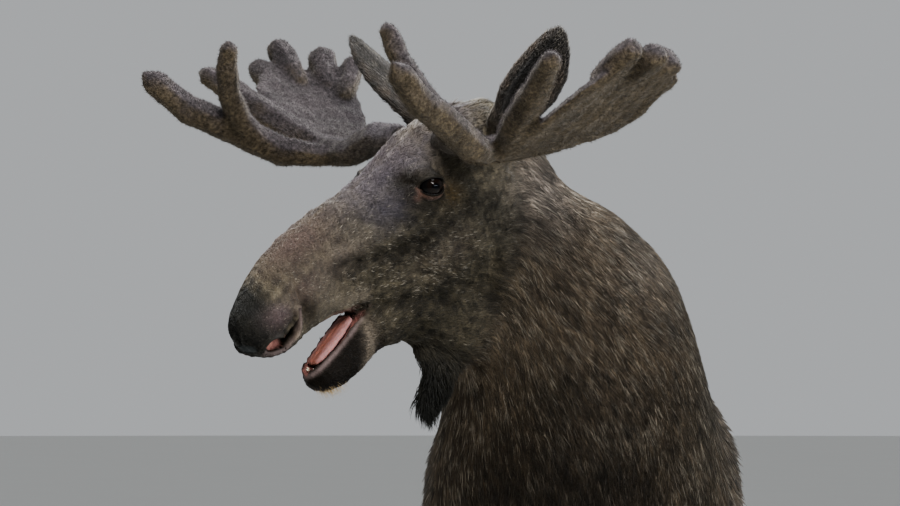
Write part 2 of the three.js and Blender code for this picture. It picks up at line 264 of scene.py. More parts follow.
def smooth_step(values: Points, start: float, end: float) -> Points:
    """0 before start, 1 past end, and an even rise between, also where end is the smaller."""
    t = np.clip((values - start) / (end - start), 0, 1)
    return t * t * (3 - 2 * t)


def hill(distance: Points, reach: float) -> Points:
    """1 where distance is 0, fading over reach on both sides."""
    return np.exp(-((distance / reach) ** 2))


def bump(points: Points, centre: Iterable[float], reach: Iterable[float]) -> Points:
    """A soft hill: 1 at centre, fading over reach along each axis."""
    away = (points - np.asarray(list(centre))) / np.asarray(list(reach))
    return np.exp(-np.sum(away * away, axis=1))


def stretches(route: Iterable[Iterable[float]]) -> Iterator[tuple[Points, Points]]:
    """Each straight stretch of a route: where it begins, and the step to its end."""
    stops = [np.array(stop) for stop in route]
    for start, end in zip(stops, stops[1:]):
        yield start, end - start


def along_line(points: Points, route: Iterable[Place], reach: float) -> Points:
    """A soft band: 1 on a route of straight stretches, fading over reach."""
    nearest = np.full(len(points), 1e9)
    for begin, step in stretches(route):
        t = np.clip((points - begin) @ step / (step @ step), 0, 1)
        nearest = np.minimum(nearest, np.sum((points - begin - t[:, None] * step) ** 2, axis=1))
    return np.exp(-nearest / reach**2)


def ripple(points: Points, size: float, seed: int) -> Points:
    """Smooth noise of about -1 to 1, whose waves are about size long."""
    rng = np.random.default_rng(seed)
    waves = 14
    turn = rng.normal(size=(waves, 3))
    turn *= (2 * np.pi / size) * rng.uniform(0.6, 1.5, (waves, 1)) / np.linalg.norm(turn, axis=1, keepdims=True)
    return np.sin(points @ turn.T + rng.uniform(0, 2 * np.pi, waves)).sum(axis=1) / math.sqrt(waves)


def unit(vectors: Points) -> Points:
    """Each row at length 1."""
    return vectors / np.maximum(np.linalg.norm(vectors, axis=-1, keepdims=True), 1e-9)


def flattened(way: Points, facing: Points) -> Points:
    """Directions without the part of them that runs along facing."""
    return way - np.sum(way * facing, axis=1, keepdims=True) * facing


# ---- Handling pieces ----


def pick_only(piece: Piece) -> None:
    """Selects one piece alone and makes it the active one."""
    if bpy.context.object and bpy.context.object.mode != "OBJECT":
        bpy.ops.object.mode_set(mode="OBJECT")
    bpy.ops.object.select_all(action="DESELECT")
    piece.select_set(True)
    bpy.context.view_layer.objects.active = piece


@contextmanager
def editing(piece: Piece, kind: str = "FACE", chosen: Points | None = None) -> Iterator[None]:
    """Opens a piece in edit mode with all of it selected, or only what is chosen.

    Args:
        piece: the piece.
        kind: FACE or VERT, for what is chosen.
        chosen: whether each face or point is selected.
    """
    pick_only(piece)
    bpy.ops.object.mode_set(mode="EDIT")
    bpy.ops.mesh.select_mode(type=kind)
    bpy.ops.mesh.select_all(action="SELECT" if chosen is None else "DESELECT")
    if chosen is not None:
        bpy.ops.object.mode_set(mode="OBJECT")
        items = piece.data.polygons if kind == "FACE" else piece.data.vertices
        items.foreach_set("select", chosen)
        bpy.ops.object.mode_set(mode="EDIT")
    yield
    bpy.ops.object.mode_set(mode="OBJECT")


def in_scene(name: str, data: bpy.types.ID) -> Piece:
    """A new object in the scene."""
    made = bpy.data.objects.new(name, data)
    bpy.context.scene.collection.objects.link(made)
    return made


def merge(name: str, parts: list[Piece]) -> Piece:
    """Joins pieces into the first one and names it."""
    pick_only(parts[0])
    for part in parts:
        part.select_set(True)
    bpy.ops.object.join()
    parts[0].name = name
    return parts[0]


def copy_of(name: str, nodes: Iterable[str]) -> Piece:
    """One new piece made of copies of some nodes' meshes."""
    piece = merge(name, [in_scene(name, frame["nodes"][node].data.copy()) for node in nodes])
    piece.data.materials.clear()
    return piece


def apply_modifier(piece: Piece, kind: str, **settings: object) -> None:
    """Adds one modifier with its settings and applies it."""
    modifier = piece.modifiers.new(kind.lower(), kind)
    for key, value in settings.items():
        setattr(modifier, key, value)
    pick_only(piece)
    bpy.ops.object.modifier_apply(modifier=modifier.name)


def remesh(piece: Piece, size: float) -> None:
    """Turns what overlaps in a piece into one even closed surface."""
    apply_modifier(piece, "REMESH", mode="VOXEL", voxel_size=size)


def read(items: bpy.types.bpy_prop_collection, trait: str, width: int = 3, kind: type = np.float32) -> Points:
    """One trait of a mesh's points, edges or faces, a row each."""
    flat = np.empty(len(items) * width, kind)
    items.foreach_get(trait, flat)
    return flat.reshape(-1, width).astype(float if kind is np.float32 else kind)


def points_of(piece: Piece) -> Points:
    """A mesh's points, one row each."""
    return read(piece.data.vertices, "co")


def normals_of(piece: Piece) -> Points:
    """The direction in which each of a mesh's points faces."""
    return read(piece.data.vertex_normals, "vector")


def move_points(piece: Piece, points: Points) -> None:
    """Gives a mesh's points new places."""
    piece.data.vertices.foreach_set("co", points.astype(np.float32).ravel())
    piece.data.update()


def swell(piece: Piece, height: Points) -> None:
    """Moves each of a mesh's points outward by its own height."""
    move_points(piece, points_of(piece) + normals_of(piece) * np.reshape(height, (-1, 1)))


def neighbours_of(piece: Piece, most: int = 6) -> Points:
    """Each point's neighbours along edges, one row each, filled up with the point itself."""
    count = len(piece.data.vertices)
    ends = read(piece.data.edges, "vertices", 2, np.int32)
    both = np.concatenate([ends, ends[:, ::-1]])
    both = both[np.argsort(both[:, 0], kind="stable")]
    first = np.searchsorted(both[:, 0], np.arange(count))
    place = np.arange(len(both)) - first[both[:, 0]]
    table = np.repeat(np.arange(count)[:, None], most, axis=1)
    keep = place < most
    table[both[keep, 0], place[keep]] = both[keep, 1]
    return table


def ease(values: Points, table: Points, weight: Points | float, rounds: int) -> Points:
    """Draws each point's values towards its neighbours' mean, round after round."""
    values = values.copy()
    weight = np.broadcast_to(weight, len(values))[:, None] * 0.5
    for _ in range(rounds):
        mean = sum(values[table[:, k]] for k in range(table.shape[1])) / table.shape[1]
        values += weight * (mean - values)
    return values


def round_off(piece: Piece, weight: Points | float, rounds: int) -> None:
    """Takes the flats out of a shape and keeps its size."""
    table = neighbours_of(piece)
    points = points_of(piece)
    eased = ease(points, table, weight, rounds)
    move_points(piece, eased + ease(points - eased, table, weight, rounds))


def refine(piece: Piece, near: Callable[[Points], Points]) -> None:
    """Divides each face in two both ways where near is true of its middle."""
    with editing(piece, "FACE", near(read(piece.data.polygons, "center"))):
        bpy.ops.mesh.subdivide(number_cuts=1)


def thin_out(piece: Piece, share: float, wanted: Points) -> None:
    """Leaves only a share of the faces, where wanted is true of a face's points."""
    with editing(piece, "VERT", wanted):
        bpy.ops.mesh.decimate(ratio=share)


def face_outward(piece: Piece) -> None:
    """Turns every face of a piece outward."""
    with editing(piece):
        bpy.ops.mesh.normals_make_consistent(inside=False)


def unwrap(piece: Piece, margin: float) -> None:
    """Lays a piece's faces out flat in its bake map."""
    with editing(piece):
        bpy.ops.uv.smart_project(angle_limit=math.radians(66), island_margin=margin)
    piece.data.uv_layers.active.name = BAKE_MAP


def shade_smooth(piece: Piece) -> None:
    """Lets a piece's faces shade as one surface."""
    pick_only(piece)
    bpy.ops.object.shade_smooth()


def paint(piece: Piece, colours: Points) -> None:
    """Stores a colour for each of a mesh's points."""
    layer = piece.data.color_attributes.new(PAINT, "FLOAT_COLOR", "POINT")
    layer.data.foreach_set("color", np.c_[colours, np.ones(len(colours))].astype(np.float32).ravel())


def two_tone(first: Colour, second: Colour, share: Points) -> Points:
    """A blend of two colours at each point, by its share of the second."""
    share = share.reshape(-1, 1)
    return np.array(first) * (1 - share) + np.array(second) * share


def declare(piece: Piece, material: bpy.types.Material, slot: str, replaced: Iterable[str] = ()) -> Piece:
    """Gives a piece its material, and tells the frame what it rides on, replaces and is made of."""
    piece.data.materials.append(material)
    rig.ride(piece, "root")
    if replaced:
        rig.replaces(piece, *replaced)
    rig.slot(piece, slot)
    log.info("%s: %d faces", piece.name, len(piece.data.polygons))
    return piece


# ---- Finishes ----


class Shader:
    """A new node material, with short calls for the nodes that the finishes share."""

    def __init__(self, name: str) -> None:
        """Starts a material with its principled shader."""
        self.material = bpy.data.materials.new(name)
        self.material.use_nodes = True
        self.tree = self.material.node_tree
        self.surface = self.tree.nodes["Principled BSDF"]

    def set(self, **values: float | tuple) -> None:
        """Sets constants on the principled shader's own sockets."""
        for key, value in values.items():
            self.surface.inputs[key.replace("_", " ")].default_value = value

    def fill(self, socket: bpy.types.NodeSocket, value: object) -> None:
        """Fills a socket with another socket, a colour or a constant."""
        if isinstance(value, bpy.types.NodeSocket):
            self.tree.links.new(value, socket)
        else:
            socket.default_value = (*value, 1) if socket.type == "RGBA" else value

    def node(self, kind: str, links: dict[str | int, object] | None = None, **settings: object) -> bpy.types.Node:
        """Adds a node and fills its sockets."""
        node = self.tree.nodes.new(kind)
        for key, value in settings.items():
            setattr(node, key, value)
        for key, value in (links or {}).items():
            self.fill(node.inputs[key], value)
        return node

    def place(self, stretch: Colour = (1, 1, 1)) -> bpy.types.NodeSocket:
        """Object coordinates, multiplied by stretch."""
        coordinates = self.node("ShaderNodeTexCoord").outputs["Object"]
        return self.node("ShaderNodeMapping", {"Vector": coordinates, "Scale": stretch}).outputs["Vector"]

    def noise(self, scale: float, detail: float = 3, stretch: Colour = (1, 1, 1)) -> bpy.types.NodeSocket:
        """Cloudy noise from 0 to 1."""
        links = {"Vector": self.place(stretch), "Scale": scale, "Detail": detail}
        return self.node("ShaderNodeTexNoise", links).outputs["Fac"]

    def painted(self) -> bpy.types.NodeSocket:
        """The colour stored on the piece."""
        return self.node("ShaderNodeAttribute", attribute_name=PAINT).outputs["Color"]

    def scaled(
        self, value: bpy.types.NodeSocket, low: float, high: float, start: float = 0, end: float = 1
    ) -> bpy.types.NodeSocket:
        """A value that runs from start to end, spread from low to high."""
        links = {"Value": value, "From Min": start, "From Max": end, "To Min": low, "To Max": high}
        return self.node("ShaderNodeMapRange", links).outputs["Result"]

    def mix(self, share: object, first: object, second: object, blend: str = "MIX") -> bpy.types.NodeSocket:
        """Two colours mixed."""
        links = {0: share, 6: first, 7: second}
        return self.node("ShaderNodeMix", links, data_type="RGBA", blend_type=blend).outputs[2]

    def shade(self, colour: object, grain: bpy.types.NodeSocket) -> bpy.types.NodeSocket:
        """A colour made darker and lighter by a grain about 1."""
        grey = self.node("ShaderNodeCombineColor", {"Red": grain, "Green": grain, "Blue": grain}).outputs["Color"]
        return self.mix(1.0, colour, grey, "MULTIPLY")

    def relief(self, height: bpy.types.NodeSocket, depth: float, strength: float = 1.0) -> None:
        """Bumps on the surface, depth metres high, over those already there."""
        node = self.node("ShaderNodeBump", {"Height": height, "Distance": depth, "Strength": strength})
        before = self.surface.inputs["Normal"]
        if before.is_linked:
            self.tree.links.new(before.links[0].from_socket, node.inputs["Normal"])
        self.tree.links.new(node.outputs["Normal"], before)

    def link(self, socket: str, value: bpy.types.NodeSocket) -> None:
        """Feeds one of the principled shader's sockets."""
        self.tree.links.new(value, self.surface.inputs[socket])


@dataclass(frozen=True)
class CoatFinish:
    """Hair: the colour stored on each tuft, with fine grain, a dry surface and a little sheen."""

    name: str = "moose_hair"
    roughness: float = 0.55
    sheen: float = 0.02
    grain: float = 900.0

    def material(self) -> bpy.types.Material:
        """Makes the material."""
        shader = Shader(self.name)
        shader.set(Roughness=self.roughness, Sheen_Weight=self.sheen, Sheen_Roughness=0.5, Specular_IOR_Level=0.14)
        shader.link("Base Color", shader.shade(shader.painted(), shader.scaled(shader.noise(self.grain), 0.7, 1.3)))
        return shader.material


@dataclass(frozen=True)
class SkinFinish:
    """The skin under the coat, with the lie of short flat hair as a fine relief."""

    name: str = "moose_skin"
    roughness: float = 0.7
    grain: float = 420.0
    pores: float = 1400.0

    def material(self) -> bpy.types.Material:
        """Makes the material."""
        shader = Shader(self.name)
        shader.set(Roughness=self.roughness, Specular_IOR_Level=0.12)
        fine = shader.noise(self.grain, 4)
        shader.link("Base Color", shader.shade(shader.painted(), shader.scaled(fine, 0.62, 1.38)))
        shader.relief(fine, 0.0016, 0.7)
        shader.relief(shader.noise(self.pores, 2), 0.0007, 0.7)
        return shader.material


@dataclass(frozen=True)
class VelvetFinish:
    """Antler in velvet: a short dense nap, mottled, over ridges and veins."""

    name: str = "antler_velvet"
    mottle: float = 60.0
    nap: float = 190.0

    def material(self) -> bpy.types.Material:
        """Makes the material."""
        shader = Shader(self.name)
        shader.set(Roughness=0.85, Sheen_Weight=0.22, Sheen_Roughness=0.35, Specular_IOR_Level=0.12)
        shader.set(Sheen_Tint=(0.85, 0.78, 0.7, 1.0))
        mottled = shader.shade(shader.painted(), shader.scaled(shader.noise(self.mottle, 5), 0.35, 1.65))
        shader.link("Base Color", shader.shade(mottled, shader.scaled(shader.noise(self.nap, 6), -0.70, 2.70)))
        shader.relief(shader.noise(90.0, 4), 0.0014, 0.8)
        shader.relief(shader.noise(800.0, 2), 0.0012, 0.8)
        return shader.material


@dataclass(frozen=True)
class HornFinish:
    """Hoof horn: nearly black, satin, with rings of growth and a paler worn edge."""

    name: str = "hoof_horn"
    ring: float = 260.0
    dark: Colour = (0.012, 0.010, 0.009)
    light: Colour = (0.045, 0.036, 0.030)
    worn: Colour = (0.085, 0.07, 0.055)
    worn_height: tuple[float, float] = (0.002, 0.022)  # above the floor

    def material(self) -> bpy.types.Material:
        """Makes the material."""
        shader = Shader(self.name)
        shader.set(Roughness=0.42, Specular_IOR_Level=0.45)
        rings = shader.noise(self.ring, 2, (0.06, 0.06, 1.0))
        speckle = shader.noise(55.0, 5)
        above_floor = shader.node("ShaderNodeSeparateXYZ", {"Vector": shader.place()}).outputs["Z"]
        edge = shader.scaled(above_floor, 1.0, 0.0, *self.worn_height)
        horn = shader.mix(edge, shader.mix(speckle, self.dark, self.light), self.worn)
        shader.link("Base Color", shader.shade(horn, shader.scaled(rings, 0.7, 1.3)))
        shader.relief(rings, 0.0012, 0.8)
        shader.link("Roughness", shader.scaled(speckle, 0.32, 0.6))
        return shader.material


@dataclass(frozen=True)
class PaintedFinish:
    """Moist or glossy skin, tooth or eye, coloured by what is stored on the piece."""

    name: str
    roughness: float
    coat: float = 0.0
    subsurface: float = 0.0
    grain: float = 300.0
    relief: float = 0.0004
    shine: float = 0.5

    def material(self) -> bpy.types.Material:
        """Makes the material."""
        shader = Shader(self.name)
        shader.set(Roughness=self.roughness, Coat_Weight=self.coat, Coat_Roughness=0.04)
        shader.set(Specular_IOR_Level=self.shine)
        if self.subsurface:
            shader.set(Subsurface_Weight=self.subsurface, Subsurface_Scale=0.006)
            shader.set(Subsurface_Radius=(1.0, 0.35, 0.2))
        grain = shader.noise(self.grain, 4)
        shader.link("Base Color", shader.shade(shader.painted(), shader.scaled(grain, 0.82, 1.18)))
        if self.relief:
            shader.relief(grain, self.relief)
        return shader.material


@dataclass(frozen=True)
class FloorFinish:
    """A plain pale floor, a little uneven in tone."""

    name: str = "studio_floor"
    colour: Colour = (0.70, 0.70, 0.68)

    def material(self) -> bpy.types.Material:
        """Makes the material."""
        shader = Shader(self.name)
        shader.set(Roughness=0.8)
        shader.link("Base Color", shader.shade(self.colour, shader.scaled(shader.noise(1.5, 2), 0.97, 1.0)))
        return shader.material


# ---- The lie and colours of the coat, with its painted light and shade ----


@dataclass(frozen=True)
class Hair:
    """How the coat of one region grows: sizes in metres, cover in layers over the skin."""

    depth: float  # from the skin to the coat's tips
    length: float
    width: float
    lift: float  # rise of the tip for each unit of length
    cover: float
    flecks: float  # share of the hairs with a pale tip


HAIR = {
    Region.TRUNK: Hair(0.012, 0.042, 0.0034, 0.13, 1.6, 0.14),
    Region.NECK: Hair(0.009, 0.030, 0.0018, 0.11, 3.7, 0.17),
    Region.FACE: Hair(0.0020, 0.009, 0.0012, 0.18, 0.85, 0.10),
    Region.CHIN: Hair(0.0024, 0.011, 0.0013, 0.22, 0.9, 0.03),
    Region.BELL: Hair(0.012, 0.036, 0.0019, 0.40, 4.0, 0.0),
    Region.EARS: Hair(0.0016, 0.013, 0.0013, 0.20, 1.2, 0.10),
    Region.LEGS: Hair(0.0045, 0.018, 0.0022, 0.13, 1.0, 0.12),
}

COLOURS: dict[str, Colour] = {
    "back": (0.042, 0.032, 0.023),
    "flank": (0.060, 0.046, 0.031),
    "neck": (0.085, 0.064, 0.042),
    "leg": (0.230, 0.200, 0.160),
    "face": (0.057, 0.048, 0.032),
    # painted sky sheen: bluish grey where the top of the head is lit from above
    "forehead": (0.074, 0.065, 0.077),
    "bridge": (0.060, 0.041, 0.034),
    # paler grey hair on the side of the face, with painted light where that side is lit
    "side": (0.078, 0.062, 0.051),
    "muzzle": (0.0095, 0.0095, 0.0082),
    # painted highlight on the lobe over the nostril
    "lobe": (0.070, 0.051, 0.049),
    "nose": (0.006, 0.008, 0.008),
    "lip": (0.105, 0.078, 0.073),
    "gum": (0.260, 0.118, 0.102),
    # the chin's own dark coat, also laid as painted shade under the jaw and in the dip behind the nostril
    "chin": (0.0062, 0.0040, 0.0020),
    "fringe": (0.200, 0.165, 0.125),
    # painted shade in deep places: under the crest, in folds, round the eyes and lids, in the mouth's corner and in
    # the nostrils
    "painted_deep_shade": (0.007, 0.0055, 0.003),
    "duct": (0.170, 0.098, 0.075),
    "ochre": (0.075, 0.048, 0.016),
    "ear": (0.050, 0.046, 0.042),
    "ear_rim": (0.016, 0.013, 0.010),
    "ear_inside": (0.090, 0.072, 0.058),
    "bell": (0.0085, 0.0080, 0.0062),
    # painted shade: the dark of shadowed places under the jaw, on the cheek, on the neck and under the antlers
    "painted_shade": (0.0165, 0.0140, 0.0085),
    # the throat's own darker coat, deepened with painted shade down the front of the neck
    "throat": (0.0090, 0.0062, 0.0034),
    # painted shade in the eye socket
    "socket": (0.016, 0.012, 0.007),
    # painted light on the upper neck, lit from above and behind
    "nape": (0.105, 0.092, 0.084),
    "poll": (0.046, 0.036, 0.038),
    "nostril": (0.270, 0.125, 0.100),
    # painted backlight glow on the pale hairs under the chin
    "backlit_gold": (0.460, 0.330, 0.170),
    "pale": (0.310, 0.275, 0.220),
}
REGION_COLOURS = dict(zip(Region, ("flank", "neck", "face", "chin", "bell", "ear", "leg")))
MOTTLE_SHARE = {Region.TRUNK: 1.0, Region.NECK: 1.1, Region.FACE: 1.15}
# Painted shade in the groove down each side of the neck.
NECK_GROOVE = (  # down each side of the neck, in level axes
    (-0.180, 0.080, -0.100),
    (-0.260, 0.065, -0.240),
    (-0.285, 0.070, -0.320),
    (-0.200, 0.210, -0.410),
)

# Soft spots of colour: a name, its share at the middle, the middle, and how far it fades along each axis.
Spots = tuple[tuple[str, float, Place, Place], ...]
# Painted shade under the jaw, over the back of the cheek and behind the eye.
JAW_SPOTS: Spots = (
    ("painted_shade", 0.88, (0.090, 0.08, -0.220), (0.13, 0.15, 0.060)),
    ("painted_shade", 0.15, (-0.060, 0.09, -0.120), (0.10, 0.15, 0.075)),
    ("painted_shade", 0.12, (-0.070, 0.09, 0.010), (0.045, 0.15, 0.050)),
)
NECK_SPOTS: Spots = (  # in level axes, unlike the others
    # partly the throat's own darker coat, partly painted shade down the front of the neck
    ("throat", 0.95, (-0.35, 0.0, -0.54), (0.28, 0.40, 0.26)),
    # painted shade at the back of the lower neck, towards the shoulders
    ("painted_shade", 0.70, (-0.62, 0.0, -0.46), (0.12, 0.40, 0.25)),
    # painted shadow under the antler, above and behind the eye
    ("painted_shade", 0.85, (-0.105, 0.12, 0.045), (0.050, 0.05, 0.030)),
    # painted light on the upper neck and nape, where light falls from above and behind
    ("nape", 0.60, (-0.245, 0.0, 0.000), (0.075, 0.40, 0.100)),
    ("nape", 0.28, (-0.430, 0.0, -0.130), (0.090, 0.40, 0.080)),
)
FACE_SPOTS: Spots = (
    # painted sky sheen on the forehead and brow
    ("forehead", 0.9, (0.03, 0.05, 0.055), (0.11, 0.09, 0.045)),
    ("forehead", 0.6, (0.075, 0.085, 0.000), (0.05, 0.05, 0.03)),
    # paler hair on the side of the face, partly painted light
    ("side", 0.75, (0.220, 0.065, -0.020), (0.075, 0.05, 0.032)),
    ("side", 0.35, (0.030, 0.09, -0.110), (0.08, 0.05, 0.045)),
    ("bridge", 0.9, (0.250, 0.025, 0.050), (0.085, 0.050, 0.038)),
    ("bridge", 0.6, (0.300, 0.062, -0.020), (0.035, 0.04, 0.028)),
)
MUZZLE_SPOTS: Spots = (
    # painted shade in the dip behind the nostril
    ("chin", 0.75, (0.310, 0.062, -0.060), (0.024, 0.04, 0.030)),
    ("muzzle", 0.6, (0.385, 0.030, -0.005), (0.03, 0.04, 0.025)),
    # painted highlight on the lobe
    ("lobe", 1.0, (0.368, 0.058, -0.026), (0.027, 0.035, 0.020)),
)
LIP_SPOTS: Spots = (
    ("fringe", 0.25, (0.258, 0.06, -0.072), (0.045, 0.05, 0.028)),
    ("fringe", 0.30, (0.221, 0.055, -0.095), (0.035, 0.05, 0.022)),
)
HOLLOW = (0.024, 0.090, 0.026)  # the dip above the front of the eye
POLL = (-0.105, 0.0, 0.125)  # the hairy hump between the antlers, in level axes
NOSE = (0.424, 0.008, -0.060)


@dataclass(frozen=True)
class FaceMap:
    """Where the face's features lie, in the head's axes in metres, on its left side."""

    eye: Place = (-0.006, 0.0985, -0.003)
    eye_out: Place = (0.14, 0.985, 0.06)
    eye_tilt: float = 27.0  # degrees above the head's forward, which falls by 34
    eye_length: float = 0.0240  # half the gap between the lids
    upper_lid: float = 0.0158
    lower_lid: float = 0.0150
    eye_radius: float = 0.0228
    duct: Route = ((0.016, 0.104, 0.004), (0.031, 0.098, -0.008))
    crest: Route = ((0.215, -0.028), (0.137, -0.053), (0.060, -0.074))
    jaw_fold: Route = ((0.176, -0.140), (0.120, -0.160), (0.050, -0.205))
    cheek_fold: Route = ((0.170, -0.098), (0.105, -0.112), (0.060, -0.150))
    nostril: Route = (  # forward, up and half-width along the opening's middle
        (0.328, -0.038, 0.0025),
        (0.337, -0.056, 0.0045),
        (0.354, -0.070, 0.0090),
        (0.376, -0.074, 0.0125),
        (0.396, -0.067, 0.0135),
    )
    upper_lip: Route = (
        (0.415, 0.000, -0.104),
        (0.392, 0.036, -0.104),
        (0.345, 0.050, -0.108),
        (0.270, 0.050, -0.112),
        (0.190, 0.042, -0.122),
    )
    lower_lip: Route = (
        (0.350, 0.000, -0.171),
        (0.338, 0.020, -0.168),
        (0.320, 0.029, -0.164),
        (0.290, 0.034, -0.158),
        (0.262, 0.037, -0.152),
        (0.235, 0.038, -0.145),
        (0.205, 0.037, -0.137),
        (0.182, 0.035, -0.130),
    )
    fringe: Route = ((0.205, 0.050, -0.140), (0.228, 0.040, -0.200), (0.255, 0.015, -0.215))

    def eye_axes(self) -> tuple[Points, Points, Points]:
        """The eye's directions: out of the head, towards its front corner, and up."""
        out = unit(np.array(self.eye_out))
        tilt = math.radians(self.eye_tilt)
        front = np.array([math.cos(tilt), 0.0, math.sin(tilt)])
        front = unit(front - (front @ out) * out)
        return out, front, np.cross(front, out)

    def eye_place(self, face: Points) -> tuple[Points, Points, Points]:
        """Each point's height, run and rise about the eye, in its own directions."""
        away = face - np.array(self.eye)
        return tuple(away @ axis for axis in self.eye_axes())

    @staticmethod
    def side_line(face: Points, route: Route, reach: float, shift: tuple[float, float] = (0.0, 0.0)) -> Points:
        """A soft band on the side of the face, along a route of forward and up places that may be shifted."""
        flat = [(forward + shift[0], 0.0, up + shift[1]) for forward, up in route]
        return along_line(face * np.array([1, 0, 1]), flat, reach) * smooth_step(face[:, 1], 0.015, 0.03)

    def nostril_gap(self, face: Points) -> Points:
        """How far each point lies inside the nostril's outline. It is negative outside."""
        gap = np.full(len(face), -1.0)
        flat = face[:, [0, 2]]
        for begin, step in stretches(self.nostril):
            (begin, width), (step, widening) = (begin[:2], begin[2]), (step[:2], step[2])
            t = np.clip((flat - begin) @ step / (step @ step), 0, 1)
            gap = np.maximum(gap, width + t * widening - np.linalg.norm(flat - begin - t[:, None] * step, axis=1))
        return np.where(face[:, 1] > 0.018, gap, -1.0)

    def within_lips(self, face: Points) -> Points:
        """1 between the lower lips, 0 on and outside them."""
        route = np.array(self.lower_lip)[::-1]
        lip = np.interp(face[:, 0], route[:, 0], route[:, 1])
        return smooth_step(lip - np.abs(face[:, 1]), 0.004, 0.009) * smooth_step(face[:, 0], 0.185, 0.225)

    def above_nostril(self, face: Points) -> Points:
        """1 above the nostril's middle line, 0 below it."""
        route = np.array(self.nostril)
        middle = np.interp(face[:, 0], route[:, 0], route[:, 1])
        return smooth_step(face[:, 2] - middle, -0.003, 0.004)

    def nose_leather(self, face: Points) -> Points:
        """1 on the bare patch at the tip of the nose, 0 elsewhere."""
        return smooth_step(bump(face, NOSE, (0.014, 0.022, 0.015)), 0.35, 0.6)

    def lid_gap(self, run: Points, rise: Points) -> Points:
        """How far a point lies inside the gap between the lids. It is negative on the lids."""
        bow = np.sqrt(np.clip(1 - (run / self.eye_length) ** 2, 0, 1))
        above = self.upper_lid * bow**0.85 - rise
        below = rise + self.lower_lid * bow
        past = self.eye_length - np.abs(run)
        return np.where(past > 0, np.minimum(above, below), -np.hypot(past, rise))


FACE = FaceMap()


def blend(weights: Points, trait: str) -> Points:
    """One trait of the hair at each point, blended between the regions."""
    return weights @ np.array([getattr(HAIR[region], trait) for region in Region])


def face_share(weights: Points) -> Points:
    """How much each point belongs to the face and the chin."""
    return Region.FACE.of(weights) + Region.CHIN.of(weights)


def growth_share(points: Points, weights: Points) -> Points:
    """How long the hair grows, as a share of its region's length: short on the muzzle and round the eyes,
    long on the hump between the antlers."""
    face = mirrored(points)
    muzzle = smooth_step(face[:, 0], 0.13, 0.34)
    eye = bump(face, FACE.eye, (0.045, 0.06, 0.036))
    poll = bump(LEVEL.local(points), POLL, (0.06, 0.07, 0.06))
    return 1 + (1.9 * poll - 0.5 * np.maximum(muzzle, eye)) * face_share(weights)


def lie_of_coat(points: Points, normals: Points, weights: Points) -> Points:
    """The direction in which the hair lies at each point, along the skin."""
    height = smooth_step(points[:, 2], 1.35, 2.0)
    rump = smooth_step(points[:, 1], 0.7, 1.15)
    chest = smooth_step(points[:, 1], -0.2, -0.6)
    zero, one = np.zeros(len(points)), np.ones(len(points))
    face = HEAD.local(points)
    cheek = smooth_step(face[:, 0], 0.2, 0.0)
    side = np.sign(face[:, 1])
    ways = {
        Region.TRUNK: np.c_[zero, 1 - 0.5 * rump - 1.1 * chest, -0.28 - 1.2 * rump - 1.2 * chest],
        Region.NECK: np.c_[0.10 + 0.45 * height, 0.15 + 0.35 * height, -0.95 * one],
        Region.FACE: HEAD.turn(np.c_[-one, zero, -0.10 - 0.35 * cheek]),
        Region.CHIN: HEAD.turn(np.c_[-one, zero, -0.55 * one]),
        Region.BELL: np.c_[zero, zero, -one],
        Region.EARS: LEVEL.turn(np.c_[0.04 * one, 0.244 * side, 0.188 * one]) * 4,
        Region.LEGS: np.c_[zero, 0.08 * one, -one],
    }
    way = sum(weights[:, [region.column]] * ways[region] for region in Region)
    swirl, clump = (
        np.stack([ripple(points, size, seed) for seed in seeds], axis=1)
        for size, seeds in ((0.16, (1, 2, 3)), (0.035, (4, 5, 6)))
    )
    return unit(flattened(unit(way) + 0.10 * swirl + 0.07 * clump, normals))


def tint(colours: Points, name: str, share: Points) -> Points:
    """Colours drawn towards a named one by a share from 0 to 1."""
    share = np.clip(share, 0, 1)[:, None]
    return colours * (1 - share) + np.array(COLOURS[name]) * share


class Palette:
    """The coat's colours at some points, built up tint by tint."""

    def __init__(self, points: Points, weights: Points) -> None:
        """Gives each point its region's own colour."""
        self.points, self.weights = points, weights
        self.level, self.face = LEVEL.local(points), mirrored(points)
        plain = {region: np.tile(COLOURS[name], (len(points), 1)) for region, name in REGION_COLOURS.items()}
        back = smooth_step(points[:, 2], 1.35, 1.75)
        plain[Region.TRUNK] = tint(plain[Region.TRUNK], "back", back)
        self.colours = sum(weights[:, [region.column]] * plain[region] for region in Region)

    def mark(self, name: str, share: Points) -> None:
        """Draws every point towards a named colour by its share."""
        self.colours = tint(self.colours, name, share)

    def spots(self, spots: Spots, places: Points, where: Points) -> None:
        """Lays soft spots of colour on the points, as far as where allows."""
        for name, share, centre, reach in spots:
            self.mark(name, share * bump(places, centre, reach) * where)


def markings(points: Points, normals: Points, weights: Points) -> Points:
    """The coat's colour at each point, painted light and shade included, the same for the skin and for the hair that
    grows there.
    """
    coat = Palette(points, weights)
    paint_body(coat)
    paint_ears(coat, normals)
    paint_face(coat)
    paint_eye(coat)
    paint_mouth(coat, normals)
    return coat.colours


